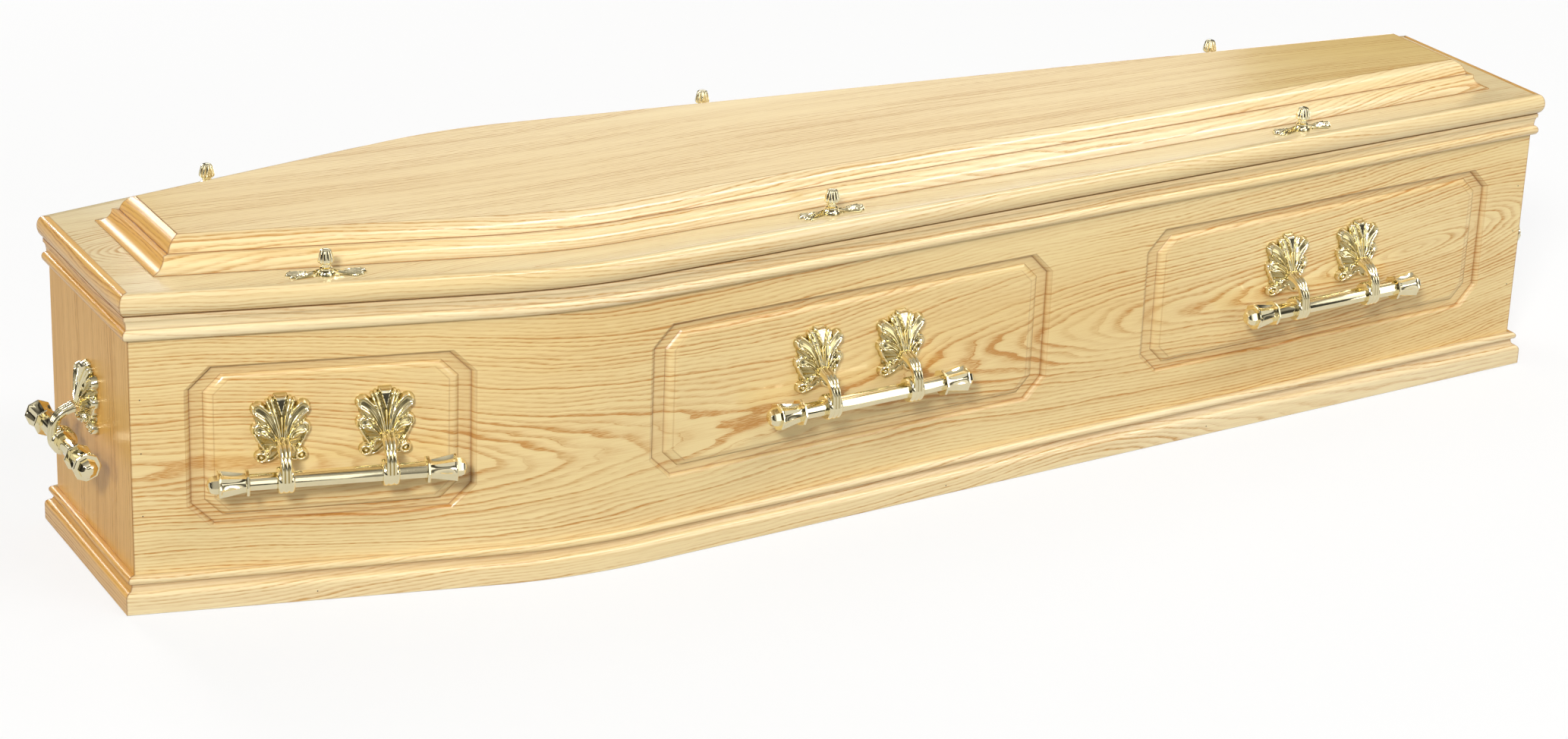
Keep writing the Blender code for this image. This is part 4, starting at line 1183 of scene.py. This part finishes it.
def relief_plate(pads, lift_at, body_at, spokes, rings, both_ways):
    """A cast plate with a flat back at Y = 0, a raised body and carving, and rolled edges.

    It is the same left and right, and top and bottom too if both_ways.
    """
    turns = numpy.arange(spokes) * (math.tau / spokes)
    reach = []
    for turn in turns:
        across, up = math.sin(turn), math.cos(turn)
        reach.append(pad_reach(Vector((abs(across), abs(up) if both_ways else up)), pads))
    shares = (numpy.arange(rings) + 1) / rings
    far = numpy.outer(numpy.array(reach), shares)
    across = numpy.sin(turns)[:, None] * far
    up = numpy.cos(turns)[:, None] * far
    lift = lift_at(numpy.abs(across), numpy.abs(up) if both_ways else up)
    roll = numpy.clip((shares - 1.0 + LEAF_ROLL) / LEAF_ROLL, 0.0, 1.0)
    height = (body_at(shares) + lift) * (1.0 - EDGE_DROP * roll * roll)
    # Painted shade: the plate is darker where its carving stands low.
    hollow = 1.0 - numpy.clip(lift / (HOLLOW_BELOW * lift.max()), 0.0, 1.0)
    bm = bmesh.new()
    stain_and_painted_shade = bm.verts.layers.float.new("recess")
    grid = []
    for spoke in range(spokes):
        column = []
        for ring in range(rings):
            corner = bm.verts.new((across[spoke, ring], -height[spoke, ring], up[spoke, ring]))
            corner[stain_and_painted_shade] = HOLLOW_PAINTED_SHADE * hollow[spoke, ring]
            column.append(corner)
        column.append(bm.verts.new((across[spoke, -1], 0.0, up[spoke, -1])))
        grid.append(column)
    middle = bm.verts.new((0.0, -height[:, 0].max(), 0.0))
    for column, following in zip(grid, grid[1:] + grid[:1]):
        bm.faces.new((middle, column[0], following[0]))
        for i in range(len(column) - 1):
            bm.faces.new((column[i], column[i + 1], following[i + 1], following[i]))
    bm.faces.new([column[-1] for column in grid])
    return closed_mesh(bm, "relief_plate", PLATED_BRASS, CARVING_FACET_ANGLE)


def leaf_body(shares):
    """The leaf's own thickness from its middle to its rim: a deep rounded shell."""
    return LEAF_THICKNESS + LEAF_RISE * (1.0 - shares ** LEAF_FULLNESS)


KEYSTONE_PADS = [(across, KEYSTONE_TOP - 0.0012, 0.0016) for across in (0.0, 0.0022, 0.0044, 0.0066)]
LEAF_OUTLINE = stroke_pads(
    LEAF_LOBES + LEAF_RIBS, (*LEAF_PADS, (*SCROLL_CENTRE, SCROLL_RADIUS), *KEYSTONE_PADS),
)
LEAF = relief_plate(LEAF_OUTLINE, leaf_lift, leaf_body, LEAF_SPOKES, LEAF_RINGS, False)

SLEEVE_WIDTH = 0.019
SLEEVE_RADIUS = 0.0152
SLEEVE_RIB = 0.0009
SLEEVE_RIBS = 3
SLEEVE_STEPS = 24
ARM_WIDTH = 0.0130
ARM_ROOT_WIDTH = 0.0180
ARM_THICKNESS = 0.0060
ARM_RIB = 0.0016
ARM_STEPS = 18
ARM_SECTION_STEPS = 18
ARM_ROUTE = ((0.0150, 0.0400), (0.0490, 0.0400), (0.0475, 0.0020))
COLLAR_LIFT = 0.0016
SLEEVE_EDGE = 0.0012
SLEEVE_FACET = 0.15
ARM_EDGE_DROP = 0.6
GROOVE_PAINTED_SHADE = 0.7
ARM_EDGE_PAINTED_SHADE = 0.2
ARM_FACET_ANGLE = math.radians(60)


def sleeve_mesh():
    """A ring round the bar with three ribs round it, turned about Z."""
    half = SLEEVE_WIDTH / 2
    bore = BAR_RADIUS + JOINT
    profile = [(bore, half, 0.0, 1.0)]
    for step in range(SLEEVE_STEPS + 1):
        share = step / SLEEVE_STEPS
        rib = SLEEVE_RIB * abs(math.sin(math.pi * SLEEVE_RIBS * share))
        edge = SLEEVE_EDGE * (2 * share - 1) ** 8
        profile.append((SLEEVE_RADIUS + rib - edge, half * (1 - 2 * share), 0.0, SLEEVE_FACET))
    profile += [(bore, -half, 0.0, 1.0), (bore, half, 0.0, 1.0)]
    return turned(profile, BAR_SEGMENTS, BAR_SIDES)


def arm_mesh():
    """The ribbed arm, from a raised collar on the leaf out and down to the sleeve's front."""
    start, bend, tip = ARM_ROUTE
    bm = bmesh.new()
    stain_and_painted_shade = bm.verts.layers.float.new("recess")
    rings = []
    points = curve_points(start, bend, tip, ARM_STEPS)
    for index, (spot, share) in enumerate(points):
        before = points[max(index - 1, 0)][0]
        after = points[min(index + 1, ARM_STEPS)][0]
        run = (after - before).normalized()
        outer = Vector((-run.y, run.x))
        if outer.x < 0 and outer.y < 0:
            outer = -outer
        width = ARM_WIDTH + (ARM_ROOT_WIDTH - ARM_WIDTH) * (1 - share) ** 2
        collar = COLLAR_LIFT if 1 <= index <= 2 else 0.0
        ring = []
        for step in range(ARM_SECTION_STEPS + 1):
            side_share = step / ARM_SECTION_STEPS
            across = width * (side_share - 0.5)
            wave = abs(math.sin(math.pi * SLEEVE_RIBS * side_share))
            round_off = 1.0 - ARM_EDGE_DROP * (2 * side_share - 1) ** 6
            lift = (ARM_THICKNESS / 2 + ARM_RIB * wave + collar) * round_off
            flat = spot + outer * lift
            corner = bm.verts.new((across, -flat.x, flat.y))
            inner = 0 < step < ARM_SECTION_STEPS
            # Painted shade in the grooves between the ribs, and lighter painted shade along the arm's edges.
            corner[stain_and_painted_shade] = GROOVE_PAINTED_SHADE * (1.0 - wave) if inner else ARM_EDGE_PAINTED_SHADE
            ring.append(corner)
        for sign in (1, -1):
            flat = spot - outer * (ARM_THICKNESS / 2)
            ring.append(bm.verts.new((sign * width / 2, -flat.x, flat.y)))
        rings.append(ring)
    for ring, following in zip(rings, rings[1:]):
        for i, corner in enumerate(ring):
            j = (i + 1) % len(ring)
            bm.faces.new((corner, ring[j], following[j], following[i]))
    bm.faces.new(rings[0])
    bm.faces.new(rings[-1])
    return closed_mesh(bm, "arm", PLATED_BRASS, ARM_FACET_ANGLE)


def bracket_mesh():
    """Leaf, arm and sleeve as one casting, with its origin on the wall level with the bar."""
    bm = bmesh.new()
    for mesh, place in (
        (LEAF, Matrix.Translation((0.0, 0.0, LEAF_ABOVE_BAR))),
        (arm_mesh(), Matrix.Identity(4)),
        (sleeve_mesh(), Matrix.Translation((0.0, -HANDLE_STANDOFF, 0.0)) @ ALONG_WALL),
    ):
        moved = mesh.copy()
        moved.transform(place)
        bm.from_mesh(moved)
    joined = bpy.data.meshes.new("bracket")
    bm.to_mesh(joined)
    bm.free()
    joined.materials.clear()
    joined.materials.append(PLATED_BRASS)
    return joined


BRACKET = bracket_mesh()
for stem, wall, side, along in HANDLES:
    letters = ("",) if wall.endswith("end") else ("_a", "_b")
    for index, letter in enumerate(letters):
        shift = (index - (len(letters) - 1) / 2) * BRACKET_SPACING
        spot = wall_place(wall, side, along, HANDLE_HEIGHT, JOINT) @ Matrix.Translation((shift, 0.0, 0.0))
        node = f"{stem}_handle_bracket{letter}"
        placed(f"{node}_cast", BRACKET, spot, node)


# The lid screws: six plated thumbscrews that hold the lid down. Each has a winged plate with
# feathered lobes, pinned flat on the lid, and a knob like a ribbed acorn on a short neck.

SCREW_SET_IN = 0.0208
SCREWS_FROM_HEAD = {
    "near": {"head": 0.223, "middle": 0.868, "foot": 1.605},
    "far": {"head": 0.203, "middle": 0.903, "foot": 1.665},
}
BOSS_HEIGHT = 0.0062
BOSS_RADIUS = 0.0108
BOSS_STEP_RADIUS = 0.0088
BOSS_STEP_HEIGHT = 0.0040
BOSS_CHAMFER = 0.0010
WING_THICKNESS = 0.0014
WING_SPOKES = 260
WING_RINGS = 40
WING_BEAD = (0.0160, 0.0, 0.0021)
WING_BEAD_HEIGHT = 0.0030

# Flutes of one wing: start, bend and tip, half width at the start and the tip, and height
WING_FLUTES = (
    ((0.0280, 0.0000), (0.0360, 0.0000), (0.0440, 0.0000), 0.0012, 0.0030, 0.0016),
    ((0.0250, 0.0018), (0.0330, 0.0040), (0.0405, 0.0066), 0.0010, 0.0028, 0.0015),
    ((0.0220, 0.0026), (0.0290, 0.0070), (0.0350, 0.0102), 0.0009, 0.0024, 0.0013),
)
WING_RIDGE = ((0.0150, 0.0000), (0.0300, 0.0000), (0.0420, 0.0000), 0.0034, 0.0115)
WING_CROWN = 0.0024
WING_PADS = (
    (0.0, 0.0, BOSS_RADIUS), (0.0120, 0.0, 0.0066), (0.0160, 0.0, 0.0040), (0.0200, 0.0, 0.0036),
    (0.0240, 0.0, 0.0052), (0.0280, 0.0, 0.0070), (0.0320, 0.0, 0.0088), (0.0360, 0.0, 0.0070),
)


def wing_lift(across, up):
    """How high the wing plate's flutes, beads and stepped boss stand."""
    flutes = numpy.zeros(across.shape)
    for start, bend, tip, start_width, tip_width, height in WING_FLUTES:
        share = off_stroke(across, up, curve_points(start, bend, tip), start_width, tip_width)
        flutes = numpy.maximum(flutes, rounded(share, height))
    start, bend, tip, start_width, tip_width = WING_RIDGE
    share = off_stroke(across, up, curve_points(start, bend, tip), start_width, tip_width)
    lift = rounded(share, WING_CROWN) + flutes
    bead = numpy.hypot(across - WING_BEAD[0], up - WING_BEAD[1]) / WING_BEAD[2]
    lift = numpy.maximum(lift, rounded(bead, WING_BEAD_HEIGHT))
    away = numpy.hypot(across, up)
    on_step = numpy.clip((BOSS_RADIUS - away) / BOSS_CHAMFER, 0.0, 1.0)
    on_boss = numpy.clip((BOSS_STEP_RADIUS - away) / BOSS_CHAMFER, 0.0, 1.0)
    step = (BOSS_STEP_HEIGHT - WING_THICKNESS) * on_step
    boss = (BOSS_HEIGHT - WING_THICKNESS) * on_boss
    return numpy.maximum(lift, numpy.maximum(step, boss))


def wing_body(shares):
    """The wing plate's even thickness, from its middle to its rim."""
    return WING_THICKNESS * numpy.ones(shares.shape)


WING_OUTLINE = stroke_pads(WING_FLUTES, WING_PADS)
WING_PLATE = relief_plate(WING_OUTLINE, wing_lift, wing_body, WING_SPOKES, WING_RINGS, True)

# The knob from its top down: radius, height, petal depth and facet share
KNOB_PROFILE = (
    (0.0000, 0.0245, 0.00, 0.0), (0.0030, 0.0244, 0.02, 0.0), (0.0050, 0.0240, 0.08, 0.0),
    (0.0065, 0.0230, 0.12, 0.0), (0.0071, 0.0215, 0.15, 0.0), (0.0078, 0.0190, 0.16, 0.0),
    (0.0086, 0.0160, 0.15, 0.0), (0.0093, 0.0130, 0.14, 0.0), (0.0096, 0.0108, 0.13, 0.0),
    (0.0094, 0.0094, 0.10, 0.0), (0.0085, 0.0084, 0.05, 0.0), (0.0066, 0.0079, 0.02, 0.0),
    (0.0056, 0.0076, 0.10, 0.0), (0.0055, 0.0055, 0.14, 0.0), (0.0056, 0.0034, 0.10, 0.0),
    (0.0064, 0.0026, 0.00, 0.0), (0.0076, 0.0022, 0.00, 0.0), (0.0078, 0.0014, 0.00, 0.0),
    (0.0078, 0.0004, 0.00, 0.0), (0.0074, 0.0000, 0.00, 0.0), (0.0000, 0.0000, 0.00, 0.0),
)
KNOB_SEGMENTS = 80
KNOB_PETALS = 10
KNOB = turned(KNOB_PROFILE, KNOB_SEGMENTS, KNOB_PETALS)
FLAT_ON_LID = Matrix.Rotation(-math.pi / 2, 4, "X")
for side_name, side in SIDES.items():
    for station, from_head in SCREWS_FROM_HEAD[side_name].items():
        on_head_run = from_head < SHOULDER_FROM_HEAD
        wall = "head_run" if on_head_run else "foot_run"
        along = from_head / HEAD_RUN.x
        if not on_head_run:
            along = (from_head - SHOULDER_FROM_HEAD) / FOOT_RUN.x
        spot = wall_place(wall, side, along, LID_TOP + JOINT, -SCREW_SET_IN)
        node = f"{side_name}_{station}_lid_screw"
        placed(f"{node}_plate_cast", WING_PLATE, spot @ FLAT_ON_LID, f"{node}_plate")
        on_boss = Matrix.Translation((0.0, 0.0, BOSS_HEIGHT + JOINT))
        placed(f"{node}_knob_cast", KNOB, spot @ on_boss, f"{node}_knob")


# The panel pins: thin steel pins hold the side boards to the ends and the plinth to the boards.
# Each is punched just below the face, and its hole shows as a small dark dot.

PIN_RADIUS = 0.0008
PIN_HEAD_DEPTH = 0.0003
PIN_SIDES = 10
PIN_BROWN = (0.10, 0.055, 0.03, 1.0)
PIN_DARK = (0.045, 0.03, 0.02, 1.0)
PIN_CLOUD_SCALE = 900.0
PIN_ROUGHNESS = 0.6
PIN_FROM_CORNER = 0.012
CORNER_PIN_HEIGHTS = (0.118, 0.196, 0.262)
PLINTH_PIN_HEIGHT = 0.012
PLINTH_PIN_SPACING = 0.42


def pins_tree():
    """A flat pin head on each point, turned to the point's own outward direction."""
    tree = bpy.data.node_groups.new("pin_heads", "GeometryNodeTree")
    tree.interface.new_socket("Points", in_out="INPUT", socket_type="NodeSocketGeometry")
    tree.interface.new_socket("Radius", in_out="INPUT", socket_type="NodeSocketFloat")
    tree.interface.new_socket("Finish", in_out="INPUT", socket_type="NodeSocketMaterial")
    tree.interface.new_socket("Geometry", in_out="OUTPUT", socket_type="NodeSocketGeometry")
    given = tree.nodes.new("NodeGroupInput").outputs
    head = add_node(
        tree, "GeometryNodeMeshCylinder",
        {"Vertices": PIN_SIDES, "Radius": given["Radius"], "Depth": PIN_HEAD_DEPTH},
    )
    outward = add_node(tree, "GeometryNodeInputNamedAttribute", {"Name": "outward"}, data_type="FLOAT_VECTOR")
    turn = add_node(tree, "FunctionNodeAlignRotationToVector", axis="Z")
    tree.links.new(outward.outputs["Attribute"], turn.inputs["Vector"])
    heads = add_node(
        tree, "GeometryNodeInstanceOnPoints",
        {"Points": given["Points"], "Instance": head.outputs["Mesh"], "Rotation": turn.outputs["Rotation"]},
    )
    realized = add_node(tree, "GeometryNodeRealizeInstances", {"Geometry": heads.outputs[0]})
    finished = add_node(
        tree, "GeometryNodeSetMaterial", {"Geometry": realized.outputs[0], "Material": given["Finish"]},
    )
    add_node(tree, "NodeGroupOutput", {"Geometry": finished.outputs[0]})
    return tree


def pin_material():
    material = bpy.data.materials.new("pin_steel")
    material.use_nodes = True
    tree = material.node_tree
    shader = tree.nodes["Principled BSDF"]
    spot = add_node(tree, "ShaderNodeTexCoord").outputs["Object"]
    cloud = add_node(tree, "ShaderNodeTexNoise", {"Vector": spot, "Scale": PIN_CLOUD_SCALE}).outputs["Fac"]
    colour = blend_colours(tree, cloud, PIN_BROWN, PIN_DARK)
    tree.links.new(colour, shader.inputs["Base Color"])
    shader.inputs["Roughness"].default_value = PIN_ROUGHNESS
    return material


def pin_points():
    """Where the pins are, and which way each one faces."""
    spots = []
    side_length = BEND_START + BEND_LENGTH + (FOOT_CORNER - BEND_END_SPOT).dot(FOOT_RUN)
    foot_corner_pins = (FOOT_CORNER - SHOULDER).length - PIN_FROM_CORNER
    for side in SIDES.values():
        for wall, along in (("head_run", PIN_FROM_CORNER), ("foot_run", foot_corner_pins)):
            for height in CORNER_PIN_HEIGHTS:
                spots.append(wall_place(wall, side, along, height))
        for number in range(int(side_length / PLINTH_PIN_SPACING)):
            along = PLINTH_PIN_SPACING * (number + 0.5)
            if abs(along - BEND_START - BEND_LENGTH / 2) > BEND_LENGTH:
                on_head_run = along < BEND_START
                wall = "head_run" if on_head_run else "foot_run"
                local = along if on_head_run else along - BEND_START - BEND_LENGTH + BEND_TANGENT
                spots.append(wall_place(wall, side, local, PLINTH_PIN_HEIGHT, PLINTH_PROJECTION))
    return spots


pins_pattern = bpy.data.meshes.new("pin_points")
pin_places = pin_points()
pins_pattern.from_pydata([place.translation for place in pin_places], [], [])
outward_layer = pins_pattern.attributes.new("outward", "FLOAT_VECTOR", "POINT")
for layer_item, place in zip(outward_layer.data, pin_places):
    layer_item.vector = place.to_3x3() @ Vector((0.0, -1.0, 0.0))
pin_mesh = made_by(pins_tree(), pins_pattern, {"Radius": PIN_RADIUS, "Finish": pin_material()})
pins = bpy.data.objects.new("panel_pins", pin_mesh)
bpy.context.scene.collection.objects.link(pins)
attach(pins, "root")


# The studio: a wide pale floor under a pale surround whose darker bands give the plating something
# to reflect. A key light stands high at the head's near side, narrow softboxes rake the near side
# from the front and from above, and weaker lights fill the ends, the lid and the far side.

WHITE = (1.0, 1.0, 1.0, 1.0)
FLOOR_HALF = 30.0
FLOOR_PAPER = (0.92, 0.92, 0.91, 1.0)
FLOOR_BOUNCE = (0.32, 0.30, 0.25, 1.0)
FLOOR_GLOW_SHARE = 0.72
FLOOR_MIRRORED_SHARE = 0.6

floor_mesh = bpy.data.meshes.new("studio_floor")
floor_corners = [(x * FLOOR_HALF, y * FLOOR_HALF) for x, y in ((-1, -1), (1, -1), (1, 1), (-1, 1))]
floor_mesh.from_pydata([(x, y, -JOINT) for x, y in floor_corners], [], [(0, 1, 2, 3)])
floor = bpy.data.objects.new("studio_floor", floor_mesh)
bpy.context.scene.collection.objects.link(floor)
floor_material = bpy.data.materials.new("studio_floor")
floor_material.use_nodes = True
floor_tree = floor_material.node_tree
floor_tree.nodes.clear()
paper = add_node(floor_tree, "ShaderNodeBsdfDiffuse", {"Color": FLOOR_PAPER})
glow = add_node(floor_tree, "ShaderNodeEmission", {"Color": WHITE, "Strength": 1.0})
pale = add_node(
    floor_tree, "ShaderNodeMixShader", {0: FLOOR_GLOW_SHARE, 1: paper.outputs[0], 2: glow.outputs[0]},
)
bounce = add_node(floor_tree, "ShaderNodeBsdfDiffuse", {"Color": FLOOR_BOUNCE})
seen_floor = add_node(floor_tree, "ShaderNodeLightPath").outputs["Is Camera Ray"]
mirrored_floor = add_node(floor_tree, "ShaderNodeLightPath").outputs["Is Glossy Ray"]
in_gloss = maths(floor_tree, "MULTIPLY", mirrored_floor, FLOOR_MIRRORED_SHARE)
shown = maths(floor_tree, "MAXIMUM", seen_floor, in_gloss)
floor_mix = add_node(floor_tree, "ShaderNodeMixShader", {0: shown, 1: bounce.outputs[0], 2: pale.outputs[0]})
add_node(floor_tree, "ShaderNodeOutputMaterial", {0: floor_mix.outputs[0]})
floor_mesh.materials.append(floor_material)

# The surround from straight below to straight above: place in the ramp and brightness
SKY_SHADES = (
    (0.0, 0.30), (0.06, 0.06), (0.20, 0.05), (0.27, 0.38), (0.44, 0.50),
    (0.49, 0.10), (0.58, 0.12), (0.68, 0.95), (1.0, 0.65),
)
SKY_WARMTH = (1.0, 0.97, 0.92)
SKY_STRENGTH = 0.24
SKY_MIRRORED_IN_FRONT = 0.95
SKY_MIRRORED_BEHIND = 0.28

world = bpy.data.worlds.new("studio")
bpy.context.scene.world = world
world.use_nodes = True
world_tree = world.node_tree
world_tree.nodes.clear()
direction = add_node(world_tree, "ShaderNodeTexCoord").outputs["Generated"]
parts = add_node(world_tree, "ShaderNodeSeparateXYZ", {0: direction}).outputs
sky = add_node(world_tree, "ShaderNodeValToRGB", {0: parts[2]})
while len(sky.color_ramp.elements) < len(SKY_SHADES):
    sky.color_ramp.elements.new(0.5)
for element, (position, value) in zip(sky.color_ramp.elements, SKY_SHADES):
    element.position = position
    element.color = (*(value * warmth for warmth in SKY_WARMTH), 1.0)
lit = add_node(world_tree, "ShaderNodeBackground", {"Color": sky.outputs[0], "Strength": SKY_STRENGTH})
seen = add_node(world_tree, "ShaderNodeBackground", {"Color": WHITE, "Strength": 1.0})
path = add_node(world_tree, "ShaderNodeLightPath").outputs["Is Camera Ray"]
in_front = add_node(
    world_tree, "ShaderNodeMapRange",
    {
        "Value": parts[1], "From Min": -0.6, "From Max": 0.5,
        "To Min": SKY_MIRRORED_IN_FRONT, "To Max": SKY_MIRRORED_BEHIND,
    },
).outputs[0]
mirrored = add_node(world_tree, "ShaderNodeBackground", {"Color": sky.outputs[0], "Strength": in_front})
gloss = add_node(world_tree, "ShaderNodeLightPath").outputs["Is Glossy Ray"]
unseen = add_node(world_tree, "ShaderNodeMixShader", {0: gloss, 1: lit.outputs[0], 2: mirrored.outputs[0]})
surround = add_node(world_tree, "ShaderNodeMixShader", {0: path, 1: unseen.outputs[0], 2: seen.outputs[0]})
add_node(world_tree, "ShaderNodeOutputWorld", {0: surround.outputs[0]})


def soft_light(name, location, aim, size, power):
    """A rectangular softbox at a place, turned to an aim, with its width, height and watts."""
    data = bpy.data.lights.new(name, "AREA")
    data.shape = "RECTANGLE"
    data.size, data.size_y = size
    data.energy = power
    light = bpy.data.objects.new(name, data)
    bpy.context.scene.collection.objects.link(light)
    light.location = location
    light.rotation_euler = (Vector(aim) - Vector(location)).to_track_quat("-Z", "Y").to_euler()


soft_light("key_light", (-6.6, -7.9, 6.4), (0.0, 0.0, 0.2), (1.7, 1.7), 870.0)
soft_light("foot_light", (2.3, -3.8, 1.2), (1.2, 0.0, 0.2), (2.4, 1.6), 25.0)
soft_light("front_light", (1.9, -4.8, 1.8), (1.2, 0.0, 0.2), (6.4, 0.9), 19.0)
soft_light("strip_light", (1.3, -1.75, 3.2), (0.6, -0.2, 0.25), (4.2, 0.40), 54.0)
soft_light("head_light", (-5.0, -0.8, 1.6), (-1.0, 0.0, 0.2), (1.2, 1.2), 36.0)
soft_light("overhead_light", (0.6, 2.0, 4.2), (0.0, 0.0, 0.4), (4.6, 1.6), 20.0)
soft_light("back_light", (2.2, 4.6, 2.1), (0.1, 0.0, 0.4), (3.0, 1.4), 20.0)
soft_light("far_side_light", (-1.25, 6.8, 2.4), (0.0, 0.0, 0.2), (1.4, 1.4), 210.0)
soft_light("foot_end_light", (5.6, 1.2, 1.2), (1.0, 0.0, 0.2), (1.4, 1.4), 70.0)


# The camera, at the photograph's own angle: from the near side and the head end, above the lid.

CAMERA_TURN = -0.5115
CAMERA_RISE = 0.3799
CAMERA_DISTANCE = 4.7567
CAMERA_TARGET = Vector((-0.0746, 0.0, 0.1033))
CAMERA_ROLL = 0.0403
CAMERA_LENS = 84.56
CAMERA_SENSOR = 36.0
CAMERA_NEAREST = 0.05
CAMERA_FARTHEST = 200.0

camera = bpy.data.objects.new("camera", bpy.data.cameras.new("camera"))
bpy.context.scene.collection.objects.link(camera)
camera.data.lens = CAMERA_LENS
camera.data.sensor_width = CAMERA_SENSOR
camera.data.clip_start = CAMERA_NEAREST
camera.data.clip_end = CAMERA_FARTHEST
away = Vector((
    math.sin(CAMERA_TURN) * math.cos(CAMERA_RISE),
    -math.cos(CAMERA_TURN) * math.cos(CAMERA_RISE),
    math.sin(CAMERA_RISE),
))
right = (-away).cross(Vector((0.0, 0.0, 1.0))).normalized()
up = right.cross(-away)
rolled_right = right * math.cos(CAMERA_ROLL) + up * math.sin(CAMERA_ROLL)
rolled_up = up * math.cos(CAMERA_ROLL) - right * math.sin(CAMERA_ROLL)
turn = Matrix((rolled_right, rolled_up, away)).transposed().to_4x4()
camera.matrix_world = Matrix.Translation(CAMERA_TARGET + away * CAMERA_DISTANCE) @ turn
bpy.context.scene.camera = camera
bpy.context.scene.view_settings.view_transform = "Standard"
